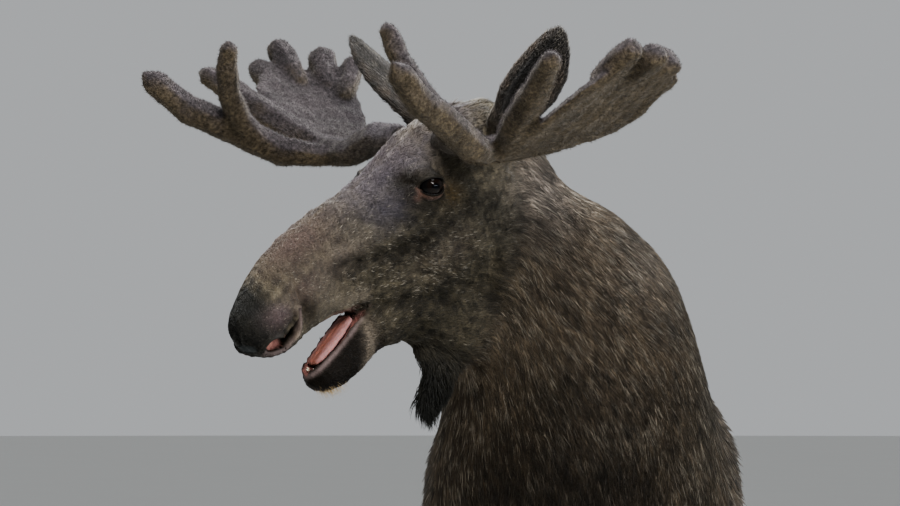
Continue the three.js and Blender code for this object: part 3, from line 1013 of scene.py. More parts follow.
def paint_body(coat: Palette) -> None:
    """The throat, its own darker coat deepened by painted shade; painted shade under the jaw, at the back of the neck,
    in its groove and under the antlers; painted light on the nape; the pale legs and the mottle.
    """
    points, weights = coat.points, coat.weights
    front = Region.NECK.of(weights) + Region.FACE.of(weights)
    # painted shade under the jaw and on the neck, and painted light on the nape
    coat.spots(JAW_SPOTS, coat.face, front)
    coat.spots(NECK_SPOTS, coat.level, front)
    # painted shade along the neck's groove
    coat.mark("painted_shade", 0.42 * along_line(coat.level, NECK_GROOVE, 0.045) * front)
    mottle = 0.34 * ripple(points, 0.016, 24) + 0.16 * ripple(points, 0.045, 29) + 0.13 * ripple(points, 0.11, 25)
    covered = sum(share * region.of(weights) for region, share in MOTTLE_SHARE.items())
    coat.colours *= (1 + mottle * covered)[:, None].clip(0.40, 1.9)
    low = smooth_step(points[:, 2], 1.16, 0.86) * (Region.TRUNK.of(weights) + Region.LEGS.of(weights))
    coat.mark("flank", smooth_step(points[:, 2], 0.82, 1.10) * Region.LEGS.of(weights))
    coat.mark("leg", 0.35 * low)


def paint_ears(coat: Palette, normals: Points) -> None:
    """The streaky hair in the ears' cups and their dark rims."""
    ears = Region.EARS.of(coat.weights)
    facing = normals @ LEVEL.forward
    rim = 1 - np.abs(facing)  # 0 where the ear's inside faces ahead
    streak = 0.5 + 0.5 * ripple(coat.level * np.array([1.0, 0.55, -0.7]), 0.014, 27)
    coat.mark("ear_inside", 0.8 * smooth_step(facing, 0.2, 0.7) * ears * streak * (1 - rim))
    coat.mark("ear_rim", 0.75 * rim**3 * ears)


def paint_face(coat: Palette) -> None:
    """The forehead with its painted sky sheen; the side of the face, paler in its hair and in painted light; the
    bridge; the muzzle, with a painted highlight on each lobe and painted shade behind each nostril; painted shadow
    under the crest and in the folds; the chin and the lips.
    """
    face, near_face = coat.face, face_share(coat.weights)

    def mark(name: str, share: Points) -> None:
        """Lays a colour on the face."""
        coat.mark(name, share * near_face)

    # painted sky sheen on the forehead and painted light on the side of the face, among the face's own colours
    coat.spots(FACE_SPOTS, face, near_face)
    mark("muzzle", 0.93 * smooth_step(face[:, 0] - 0.25 * face[:, 1], 0.33, 0.375))
    # painted shade behind the nostril and a painted highlight on the lobe over it
    coat.spots(MUZZLE_SPOTS, face, near_face)
    # painted shadow under the crest, under the eye and in the fold of the jaw
    under_crest = FACE.side_line(face, FACE.crest, 0.021, (0.0, -0.010))
    mark("painted_deep_shade", 0.72 * under_crest * (1 + 0.3 * ripple(coat.points, 0.02, 26)))
    mark("painted_deep_shade", 0.55 * bump(face, (0.012, 0.09, -0.075), (0.040, 0.05, 0.018)))
    mark("painted_deep_shade", 0.50 * FACE.side_line(face, FACE.jaw_fold, 0.014))
    mark("lip", 0.7 * along_line(face, FACE.upper_lip, 0.007))
    mark("lip", 0.5 * smooth_step(FACE.nostril_gap(face), -0.0085, -0.0055) * (1 - FACE.above_nostril(face)))
    # the chin's own dark coat, with painted shade under the jaw
    mark("chin", smooth_step(face[:, 2], -0.125, -0.150) * smooth_step(face[:, 0], 0.19, 0.23))
    mark("lip", 0.9 * along_line(face, FACE.lower_lip, 0.0042))
    lip_hair = [(x, y + 0.012, z + 0.016) for x, y, z in FACE.upper_lip[2:]]
    mark("fringe", 0.42 * along_line(face, lip_hair, 0.015))
    coat.spots(LIP_SPOTS, face, near_face)
    mark("fringe", 0.60 * along_line(face, FACE.fringe, 0.014) * smooth_step(face[:, 0], 0.285, 0.255))
    mark("bridge", 0.55 * bump(face, (0.020, 0.0, 0.090), (0.10, 0.06, 0.05)))
    mark("poll", 0.85 * bump(coat.level, POLL, (0.05, 0.06, 0.045)))
    mark("nose", 0.95 * FACE.nose_leather(face))


def paint_eye(coat: Palette) -> None:
    """Painted shade in the socket, in the dip above the eye and round the edge of the lids; an ochre patch behind the
    eye; and the reddish corner of the eye.
    """
    face, near_face = coat.face, face_share(coat.weights)
    height, run, rise = FACE.eye_place(face)
    gap = FACE.lid_gap(run, rise)
    on_eye = smooth_step(np.abs(height - 0.018), 0.030, 0.016)
    along, down = run + 0.002, rise + 0.002  # the socket's middle lies a little behind and below the pupil
    # painted shade in the dip, the socket and round the lids; the ochre and the duct are the coat's own colours
    for name, share in (
        ("painted_deep_shade", 1.25 * bump(face, HOLLOW, (0.021, 0.05, 0.014))),
        ("ochre", 0.8 * bump(face, (-0.034, 0.10, -0.036), (0.020, 0.03, 0.020))),
        ("socket", 0.90 * hill(along + 0.001, 0.047) * hill(down, 0.039)),
        ("painted_deep_shade", 0.95 * on_eye * hill(along, 0.041) * hill(down, 0.031)),
        ("duct", 0.8 * along_line(face, FACE.duct, 0.006)),
        ("duct", 0.6 * on_eye * smooth_step(gap, -0.011, -0.004) * (rise < 0)),
        ("painted_deep_shade", on_eye * smooth_step(gap, -0.0042, -0.0022)),
    ):
        coat.mark(name, share * near_face)


def paint_mouth(coat: Palette, normals: Points) -> None:
    """The gums, painted shade in the corner of the mouth and at the opening of each nostril, and the nostrils' pink
    lining.
    """
    face, near_face = coat.face, face_share(coat.weights)
    level_skin = np.abs(normals @ HEAD.up)
    within = FACE.within_lips(face) * smooth_step(level_skin, 0.1, 0.5)
    gap = FACE.nostril_gap(face)
    # painted shade in the mouth's corner and in each nostril's opening
    for name, share in (
        ("painted_deep_shade", 0.8 * bump(face, (0.190, 0.02, -0.128), (0.020, 0.05, 0.012)) * (level_skin > 0.2)),
        ("gum", 1.8 * within * bump(face, (0.27, 0.0, -0.145), (0.09, 0.05, 0.030))),
        ("painted_deep_shade", smooth_step(gap, 0.0, 0.003)),
        ("nostril", smooth_step(gap, 0.003, 0.006) * smooth_step(face[:, 0], 0.364, 0.378)),
    ):
        coat.mark(name, share * near_face)


# ---- Skin ----

# Soft forms on the face: height in metres, the middle, and how far it fades along each axis.
FACE_FORMS: tuple[tuple[float, Place, Place], ...] = (
    (0.0060, (-0.004, 0.098, 0.038), (0.036, 0.03, 0.012)),  # brow
    (-0.0095, HOLLOW, (0.018, 0.05, 0.013)),
    (0.0080, (-0.040, 0.104, -0.130), (0.080, 0.05, 0.06)),  # jaw muscle
    (-0.0050, (0.085, 0.080, -0.135), (0.030, 0.04, 0.05)),
    (-0.0080, (0.02, 0.0, 0.075), (0.06, 0.020, 0.03)),  # dip between the brows
    (0.0070, (0.362, 0.06, -0.026), (0.030, 0.035, 0.020)),  # lobe over the nostril
    (-0.0060, (0.318, 0.062, -0.055), (0.014, 0.03, 0.022)),
    (0.0050, (0.290, 0.062, -0.050), (0.020, 0.03, 0.030)),
    (0.0040, (0.408, 0.0, -0.02), (0.03, 0.05, 0.035)),  # tip of the nose
    (-0.0025, (0.424, 0.0, -0.060), (0.02, 0.005, 0.05)),
)
# Ridges and folds on the side of the face: height, route, how far it fades, and the route's shift.
FACE_FOLDS: tuple[tuple[float, Route, float, tuple[float, float]], ...] = (
    (-0.0060, FACE.crest, 0.010, (0.0, 0.0)),
    (0.0060, FACE.crest, 0.015, (0.0, 0.024)),
    (0.0040, FACE.crest, 0.013, (-0.01, -0.026)),
    (-0.0045, FACE.cheek_fold, 0.009, (0.0, 0.0)),
    (-0.0070, FACE.jaw_fold, 0.012, (0.0, 0.0)),
)


def near_spots(spots: Iterable[Place], reach: float) -> Callable[[Points], Points]:
    """A test for places within reach of any spot of the face."""

    def test(points: Points) -> Points:
        """True near a spot."""
        face = mirrored(points)
        return np.min([np.linalg.norm(face - np.array(spot), axis=1) for spot in spots], axis=0) < reach

    return test


@dataclass
class Skin:
    """The skin of the whole animal: one closed surface that lies inside the coat's tips."""

    body_voxel: float = 0.014
    head_voxel: float = 0.005
    voxel: float = 0.0055
    tuck: float = 0.012  # how far the plain end of each half lies inside the other half
    far: float = 0.46  # beyond this distance from the eyes the skin needs only large faces
    far_share: float = 0.10
    nape: Route = ((-0.190, 0.0, -0.060), (0.987, 0.0, 0.163))  # a place and the way ahead, in level axes
    weights: Points = field(init=False, repr=False)
    bare: Points = field(init=False, repr=False)
    piece: Piece = field(init=False, repr=False)

    def build(self) -> Piece:
        """Makes the skin, from the rough solids to the lids, and dresses it."""
        self.piece = merge("skin", [self.head_form(), self.body_form()])
        remesh(self.piece, self.voxel)
        points = points_of(self.piece)
        thin = self.ear_share(points)
        move_points(self.piece, ease(points, neighbours_of(self.piece), 1 - 0.7 * thin, 4))
        away = np.linalg.norm(points_of(self.piece) - HEAD.origin, axis=1)
        thin_out(self.piece, self.far_share, (away > self.far) & (thin < 0.5))
        self.refine_face()
        self.find_regions()
        self.sink()
        self.carve_face()
        return self.dress()

    def ahead(self, points: Points) -> Points:
        """How far each point lies ahead of the nape."""
        middle, normal = self.nape
        return (LEVEL.local(points) - np.array(middle)) @ np.array(normal)

    @staticmethod
    def ear_share(points: Points) -> Points:
        """1 on the ears, 0 elsewhere."""
        level = LEVEL.local(points)
        across, height = np.abs(level[:, 1]), level[:, 2]
        on_head = smooth_step(np.linalg.norm(level, axis=1), 0.52, 0.47) * (level[:, 0] < 0.1)
        return smooth_step(0.8 * (across - 0.112) + 0.6 * (height - 0.122), -0.02, 0.02) * on_head

    def body_form(self) -> Piece:
        """The trunk, neck and legs, well rounded, with a head that lies inside the true one."""
        body = copy_of("body_form", ["trunk", "neck", "head", "lower_jaw", "tail", *Region.LEGS.value])
        remesh(body, self.body_voxel)
        points = points_of(body)
        ahead = self.ahead(points)
        weight = 0.012 + 0.988 * smooth_step(points[:, 2], 0.72, 1.30)
        weight *= 1 - 0.93 * smooth_step(ahead, -0.05, 0.10)
        weight *= 1 - 0.95 * bump(points, node_centre("tail"), (0.08, 0.06, 0.12))
        round_off(body, weight, 130)
        swell(body, -self.tuck * smooth_step(ahead, -0.03, 0.06))
        return body

    def head_form(self) -> Piece:
        """The head, ears and bell, gently rounded, with a neck that lies inside the true one."""
        nodes = ["head", "lower_jaw", "eye_left", "eye_right", "ear_left", "ear_right", "bell", "neck"]
        head = copy_of("head_form", nodes)
        remesh(head, self.head_voxel)
        points = points_of(head)
        face = mirrored(points)
        weight = 1 - 0.88 * self.ear_share(points)
        mouth = bump(face, (0.27, 0.0, -0.15), (0.13, 0.09, 0.045))
        nose = bump(face, (0.37, 0.05, -0.06), (0.06, 0.05, 0.05))
        weight *= 1 - 0.85 * np.maximum(mouth, nose)
        round_off(head, weight, 32)
        swell(head, -self.tuck * smooth_step(self.ahead(points), 0.03, -0.06))
        return head

    def refine_face(self) -> None:
        """Makes the faces small round the eyes, nostrils and lips."""
        lips = [*FACE.upper_lip, *FACE.lower_lip, (0.23, 0.03, -0.12)]
        openings = [FACE.eye, *((forward, 0.052, up) for forward, up, _ in FACE.nostril)]
        for spots, reach in ((lips, 0.024), (openings, 0.040), (openings, 0.030)):
            refine(self.piece, near_spots(spots, reach))
        self.settle(3)

    def settle(self, rounds: int) -> None:
        """Evens the skin out a little."""
        points = points_of(self.piece)
        weight = 0.8 * (1 - 0.8 * self.ear_share(points))
        move_points(self.piece, ease(points, neighbours_of(self.piece), weight, rounds))

    def find_regions(self) -> None:
        """Works out how much each point belongs to each region, from the nearest solid."""
        corners, faces, columns = [], [], []
        for region in Region:
            for node in region.value:
                mesh = frame["nodes"][node].data
                start = len(corners)
                corners += [vertex.co[:] for vertex in mesh.vertices]
                faces += [tuple(start + corner for corner in face.vertices) for face in mesh.polygons]
                columns += [region.column] * len(mesh.polygons)
        tree = BVHTree.FromPolygons(corners, faces)
        found = np.array([tree.find_nearest(point)[2] for point in points_of(self.piece)])
        weights = np.eye(len(Region))[np.array(columns)[found]]
        self.weights = ease(weights, neighbours_of(self.piece), 1.0, 80)

    def sink(self) -> None:
        """Moves the skin in by the depth of its coat."""
        depth = ease(blend(self.weights, "depth")[:, None], neighbours_of(self.piece), 1.0, 10)
        swell(self.piece, -depth)
        self.settle(2)

    def carve_face(self) -> None:
        """Shapes the eye sockets and lids, the nostrils, the lips and the forms of the face."""
        points = points_of(self.piece)
        face = mirrored(points)
        mirror = np.where(HEAD.local(points)[:, 1] < 0, -1, 1)
        out = normals_of(self.piece) @ HEAD.ways.T
        out[:, 1] *= mirror
        on_head = face_share(self.weights)
        height = sum(height * bump(face, centre, reach) for height, centre, reach in FACE_FORMS)
        height += sum(height * FACE.side_line(face, *fold) for height, *fold in FACE_FOLDS)
        height += 0.0045 * along_line(face, FACE.lower_lip, 0.007)
        height += 0.0020 * along_line(face, FACE.upper_lip, 0.006)
        height += 0.0022 * ripple(points, 0.045, 11) * smooth_step(face[:, 0], 0.36, 0.10)
        height += 0.0007 * ripple(points, 0.016, 12)
        face += out * (height * on_head)[:, None]
        face[:, 2] += 0.0110 * along_line(face, FACE.lower_lip, 0.010) * smooth_step(face[:, 0], 0.18, 0.24)
        face = self.carve_nostril(face, out)
        face, inside = self.carve_eye(face)
        face[:, 1] *= mirror
        move_points(self.piece, np.where(on_head[:, None] > 0.02, HEAD.world(face), points))
        self.find_bare(inside)

    @staticmethod
    def carve_nostril(face: Points, out: Points) -> Points:
        """Opens each nostril as a slanting comma under its overhanging lobe."""
        gap, above = FACE.nostril_gap(face), FACE.above_nostril(face)
        rim = hill(gap + 0.0035, 0.0030)
        face = face + out * (rim * (0.0030 * (1 - above) + 0.0055 * above))[:, None]
        face[:, 2] -= 0.0045 * rim * above
        inward = np.array([-0.06, -1.0, 0.03]) * 0.015
        return face + inward * smooth_step(gap, -0.0005, 0.0060)[:, None]

    @staticmethod
    def carve_eye(face: Points) -> tuple[Points, Points]:
        """Raises the lids over each eyeball and opens the gap between them.

        Args:
            face: the skin's points in the head's axes, on its left side.

        Returns:
            The moved points, and how far each lies inside the gap.
        """
        out = FACE.eye_axes()[0]
        height, run, rise = FACE.eye_place(face)
        from_axis = np.hypot(run, rise)
        gap = FACE.lid_gap(run, rise)
        near = (height > -0.012) & (from_axis < 0.045)
        lid = np.sqrt(np.clip((FACE.eye_radius + 0.0026) ** 2 - from_axis**2, 0, None))
        over = 0.5 * (height + lid + np.sqrt((height - lid) ** 2 + 0.003**2))
        raised = height + (over - height) * smooth_step(from_axis, 0.033, 0.021)
        crease = 0.0016 * hill(gap + 0.0065, 0.0014) * (rise > 0)
        folds = 0.0014 * hill(gap + 0.0045, 0.0011) + 0.0013 * hill(gap + 0.0095, 0.0016)
        raised -= (crease + folds * (rise <= 0)) * (np.abs(run) < 0.022)
        raised += 0.0008 * hill(gap + 0.0015, 0.0012)
        raised -= 0.0030 * along_line(face, FACE.duct, 0.005)
        floor = np.sqrt(np.clip((FACE.eye_radius - 0.004) ** 2 - from_axis**2, 0, None))
        opened = smooth_step(gap, -0.0003, 0.0012)
        target = raised * (1 - opened) + floor * opened
        return face + out * ((target - height) * near)[:, None], np.where(near, gap, -1.0)

    def find_bare(self, gap: Points) -> None:
        """Marks where no hair grows: eyes, lid rims, nose, nostrils, lips and the mouth's inside."""
        face = mirrored(points_of(self.piece))
        mouth = bump(face, (0.262, 0.0, -0.140), (0.085, 0.05, 0.022)) * FACE.within_lips(face)
        self.bare = np.max(
            [
                smooth_step(gap, -0.0045, -0.0030),
                smooth_step(FACE.nostril_gap(face), -0.0065, -0.0045),
                smooth_step(along_line(face, FACE.lower_lip, 0.008), 0.3, 0.6),
                smooth_step(along_line(face, FACE.upper_lip, 0.006), 0.4, 0.7),
                FACE.nose_leather(face),
                smooth_step(mouth, 0.3, 0.5),
            ],
            axis=0,
        )

    def dress(self) -> Piece:
        """Unwraps the skin, lays the coat's colours on it with their painted light and shade, darkens it under long
        hair as painted shade, and gives it its finish.
        """
        face_outward(self.piece)
        unwrap(self.piece, 0.002)
        shade_smooth(self.piece)
        colours = markings(points_of(self.piece), normals_of(self.piece), self.weights)
        short_haired = np.clip(face_share(self.weights) + Region.EARS.of(self.weights), 0, 1)
        # painted shade: the skin is darker where long hair covers it
        paint(self.piece, colours * (0.55 + 0.45 * short_haired)[:, None])  # darker under long hair
        nodes = [node for region in Region for node in region.value]
        return declare(self.piece, SkinFinish().material(), "coat", nodes)


# ---- Coat ----

ROOT_DARK = 0.72  # a hair's colour at its root, as a share of its colour further out
TIP_BRIGHT = 1.1
PATCH = 0.003  # width of a tuft's place in the bake map


@dataclass(frozen=True)
class Tuft:
    """A tuft's shape: each point's row from root to tip, its place across the patch, and the faces."""

    rows: Place
    across: Place
    faces: tuple[tuple[int, ...], ...]

    def patch(self) -> Points:
        """Each point's place in the bake map, from the tuft's own root."""
        rows, across = np.array(self.rows), np.array(self.across)
        ridge = 0.12 * (across == 0) * (rows == 0)
        return np.c_[across, rows + ridge] * PATCH


SPIKE = Tuft((0, 0, 0, 1), (-0.5, 0.5, 0, 0), ((0, 1, 3), (1, 2, 3), (2, 0, 3), (0, 2, 1)))
LOCK = Tuft(
    (0, 0, 0, 0.45, 0.45, 0.45, 1),
    (-0.5, 0.5, 0, -0.4, 0.4, 0.05, 0),
    ((0, 1, 4, 3), (1, 2, 5, 4), (2, 0, 3, 5), (3, 4, 6), (4, 5, 6), (5, 3, 6), (0, 2, 1)),
)


@dataclass
class Roots:
    """Where tufts grow: places, facings, unwrapped places and region weights."""

    place: Points
    facing: Points
    unwrapped: Points
    weights: Points

    def __len__(self) -> int:
        """How many tufts there are."""
        return len(self.place)


@dataclass
class Growth:
    """The tufts' measures and colours, a row for each root."""

    way: Points
    length: Points
    width: Points
    lift: Points
    root_colour: Points
    tip_colour: Points


def sheaf(name: str, corners: Points, tuft: Tuft, unwrapped: Points, colours: Points) -> Piece:
    """Makes one mesh of many small tufts that share a shape.

    Args:
        name: the piece's name.
        corners: the tufts' points, tuft by tuft.
        tuft: the shape whose faces each tuft has.
        unwrapped: each point's place in the bake map.
        colours: each point's colour.

    Returns:
        The new piece.
    """
    count, each = corners.shape[:2]
    loops = (np.concatenate(tuft.faces) + each * np.arange(count)[:, None]).ravel()
    sizes = np.tile([len(face) for face in tuft.faces], count)
    mesh = bpy.data.meshes.new(name)
    mesh.vertices.add(count * each)
    mesh.vertices.foreach_set("co", corners.astype(np.float32).ravel())
    mesh.loops.add(len(loops))
    mesh.loops.foreach_set("vertex_index", loops.astype(np.int32))
    mesh.polygons.add(len(sizes))
    mesh.polygons.foreach_set("loop_start", np.r_[0, np.cumsum(sizes)[:-1]].astype(np.int32))
    mesh.update(calc_edges=True)
    layer = mesh.uv_layers.new(name=BAKE_MAP)
    layer.data.foreach_set("uv", unwrapped.reshape(-1, 2)[loops].astype(np.float32).ravel())
    mesh.polygons.foreach_set("use_smooth", np.ones(len(sizes), bool))
    piece = in_scene(name, mesh)
    paint(piece, colours.reshape(-1, 3))
    return piece


def comb(name: str, roots: Roots, growth: Growth, locks: bool = False) -> Piece:
    """Grows tufts from their roots: straight spikes, or locks that bend back to the skin.

    Args:
        name: the piece's name.
        roots: where the tufts grow.
        growth: their measures and colours.
        locks: whether the tufts bend.

    Returns:
        The new piece.
    """
    place, facing = roots.place, roots.facing
    half, length, lift = (trait[:, None] for trait in (growth.width / 2, growth.length, growth.lift))
    side, thick, along = np.cross(growth.way, facing) * half, facing * half, growth.way * length
    foot = place - thick
    corners = [foot - side, foot + side, foot + thick * 2]
    if locks:
        belly = place + along * 0.45 + facing * lift * length * 0.62
        corners += [belly - side * 0.8, belly + side * 0.8, belly + thick]
    corners.append(place + along + facing * lift * length * (0.75 if locks else 1.0))
    tuft = LOCK if locks else SPIKE
    share = np.sqrt(tuft.rows)[None, :, None]
    colours = growth.root_colour[:, None] * (1 - share) + growth.tip_colour[:, None] * share
    return sheaf(name, np.stack(corners, axis=1), tuft, roots.unwrapped[:, None, :] + tuft.patch(), colours)


class Field:
    """A piece's triangles, from which tufts are sown."""

    def __init__(self, piece: Piece, weights: Points, bare: Points) -> None:
        """Reads a piece's triangles with what is known at their corners."""
        mesh = piece.data
        mesh.calc_loop_triangles()
        self.corners = read(mesh.loop_triangles, "vertices", 3, np.int32)
        loops = read(mesh.loop_triangles, "loops", 3, np.int32)
        self.unwrapped = read(mesh.uv_layers[BAKE_MAP].data, "uv", 2)[loops]
        self.places, self.facings, self.weights = points_of(piece), normals_of(piece), weights
        one, two, three = (self.places[self.corners[:, k]] for k in range(3))
        self.area = np.linalg.norm(np.cross(two - one, three - one), axis=1) / 2
        self.middle = (one + two + three) / 3
        self.mean_weights = weights[self.corners].mean(axis=1)
        self.hairy = 1 - bare[self.corners].mean(axis=1)

    def sow(self, density: Points, rng: np.random.Generator) -> Roots:
        """Picks roots at random.

        Args:
            density: roots for each square metre of each triangle.
            rng: where chance comes from.

        Returns:
            The roots.
        """
        wanted = self.area * density * np.clip(self.hairy, 0, 1)
        counts = np.floor(wanted + rng.random(len(wanted))).astype(int)
        chosen = np.repeat(np.arange(len(wanted)), counts)
        share = rng.random((len(chosen), 2))
        over = share.sum(axis=1) > 1
        share[over] = 1 - share[over]
        mix = np.c_[share, 1 - share.sum(axis=1)]

        def at(values: Points) -> Points:
            """Values of each triangle's corners, blended at each root."""
            return np.einsum("rk,rkd->rd", mix, values)

        corners = self.corners[chosen]
        facings = unit(at(self.facings[corners]))
        return Roots(at(self.places[corners]), facings, at(self.unwrapped[chosen]), at(self.weights[corners]))


@dataclass(frozen=True)
class Patch:
    """One piece of the coat: the regions it covers, on one side of the animal."""

    name: str
    regions: tuple[Region, ...]
    side: Side
    thick: float = 1.0  # more or less hair than the region's own cover
    locks: bool = False

    def on_side(self, points: Points) -> Points:
        """Which points lie on the patch's side of the animal."""
        if {Region.FACE, Region.CHIN, Region.EARS, Region.BELL} & set(self.regions):
            across = HEAD.local(points)[:, 1]
        else:
            across = points[:, 0] - node_centre("trunk")[0]
        return across * self.side.value > 0


@dataclass
class Coat:
    """All the hair that grows from the skin."""

    skin: Skin
    most: int = 46000  # tufts in one piece
    throat_top: float = 1.62  # the neck's hair is in two pieces on each side, above and below this height
    finish: CoatFinish = CoatFinish()

    def build(self) -> list[Piece]:
        """Grows every patch of the coat."""
        ground = Field(self.skin.piece, self.skin.weights, self.skin.bare)
        material = self.finish.material()
        rng = np.random.default_rng(SEED)
        patches = [
            Patch(f"coat_{name}_{side.word}", regions, side, *more)
            for name, regions, *more in (
                ("trunk", (Region.TRUNK,)),
                ("neck", (Region.NECK,)),
                ("throat", (Region.NECK,)),
                ("face", (Region.FACE, Region.CHIN)),
                ("ear", (Region.EARS,)),
                ("legs", (Region.LEGS,)),
                ("bell", (Region.BELL,), 2.5, True),
            )
            for side in Side
        ]
        return [
            declare(self.grow(ground, patch, rng), material, "leg_coat" if Region.LEGS in patch.regions else "coat")
            for patch in patches
        ]

    def grow(self, ground: Field, patch: Patch, rng: np.random.Generator) -> Piece:
        """Grows one patch."""
        weights = ground.mean_weights
        own = np.isin(weights.argmax(axis=1), [region.column for region in patch.regions])
        own &= patch.on_side(ground.middle)
        if Region.NECK in patch.regions:
            own &= (ground.middle[:, 2] < self.throat_top) == patch.name.startswith("coat_throat")
        grown = growth_share(ground.middle, weights)
        size = 0.5 * blend(weights, "length") * blend(weights, "width") * grown**1.6
        density = own * blend(weights, "cover") * patch.thick / size
        expected = (ground.area * density * ground.hairy).sum()
        log.info("%s: %d tufts wanted", patch.name, expected)
        roots = ground.sow(density * min(1.0, self.most / max(expected, 1)), rng)
        return comb(patch.name, roots, self.growth(roots, rng), patch.locks)

    @staticmethod
    def growth(roots: Roots, rng: np.random.Generator) -> Growth:
        """Works out the measures and colours of each tuft."""
        count = len(roots)
        place, facing, weights = roots.place, roots.facing, roots.weights
        neck, face = Region.NECK.of(weights), Region.FACE.of(weights)
        way = lie_of_coat(place, facing, weights)
        way = unit(way + np.cross(way, facing) * rng.normal(0, 0.13, (count, 1)))
        grown = growth_share(place, weights)
        length = blend(weights, "length") * grown * rng.uniform(0.65, 1.25, count)
        width = blend(weights, "width") * grown**0.25 * rng.uniform(0.7, 1.3, count)
        lift = blend(weights, "lift") * rng.uniform(0.35, 1.5, count)
        colour = markings(place, facing, weights)
        tone = np.exp(rng.normal(0, 0.26, (count, 1)) + 0.22 * ripple(place, 0.021, 21)[:, None])
        clump = smooth_step(ripple(place, 0.026, 22) + 0.6 * ripple(place, 0.09, 28), 0.2, 1.3)
        pale = rng.random(count) < blend(weights, "flecks") * (0.35 + 2.6 * clump)
        bright = np.clip(colour.mean(axis=1) / 0.034, 0.08, 1.0) ** 1.7  # dark stretches have no pale hairs
        bright *= 1 - 0.65 * smooth_step(facing[:, 2], 0.35, 0.85) * face
        tip = tint(colour * tone, "pale", pale * bright * rng.uniform(0.2, 0.9, count))
        width = np.where(pale, width * (0.7 + 0.7 * neck), width)
        cheek = bump(mirrored(place), (0.11, 0.09, -0.11), (0.12, 0.1, 0.055)) + 0.10
        white = (rng.random(count) < 0.110 * cheek * face * (0.4 + 2.2 * clump)) & (grown < 1.2)
        tip = tint(tip, "pale", 0.95 * white * bright)
        width = np.where(white, 2.0 * width, width)
        return Growth(way, length, width, lift, colour * ROOT_DARK, tip * TIP_BRIGHT)


@dataclass
class ChinHair:
    """Long pale hairs that hang under the chin, golden in painted backlight glow."""

    skin: Skin
    centre: Place = (0.322, 0.0, -0.214)
    reach: Place = (0.020, 0.026, 0.012)
    count: int = 230
    length: float = 0.017
    width: float = 0.0007
    lift: float = 0.1

    def build(self) -> Piece:
        """Grows the hairs."""
        rng = np.random.default_rng(SEED + 5)
        ground = Field(self.skin.piece, self.skin.weights, self.skin.bare)
        share = bump(mirrored(ground.middle), self.centre, self.reach) * (Region.CHIN.of(ground.mean_weights) > 0.5)
        roots = ground.sow(share * self.count / max((share * ground.area).sum(), 1e-9), rng)
        many = len(roots)
        way = HEAD.turn(np.array([[-0.15, 0.0, -1.0]])) + rng.normal(0, 0.25, (many, 3))
        length = self.length * rng.uniform(0.5, 1.3, many)
        width, lift = np.full(many, self.width), np.full(many, self.lift)
        # painted backlight: the hairs' golden colour is the glow of light from behind
        backlit_gold = np.tile(COLOURS["backlit_gold"], (many, 1)) * rng.uniform(0.6, 1.2, (many, 1))
        hairs = comb("chin_hair", roots, Growth(unit(way), length, width, lift, backlit_gold * 0.6, backlit_gold))
        return declare(hairs, CoatFinish("chin_hair").material(), "coat")


# ---- Antlers ----


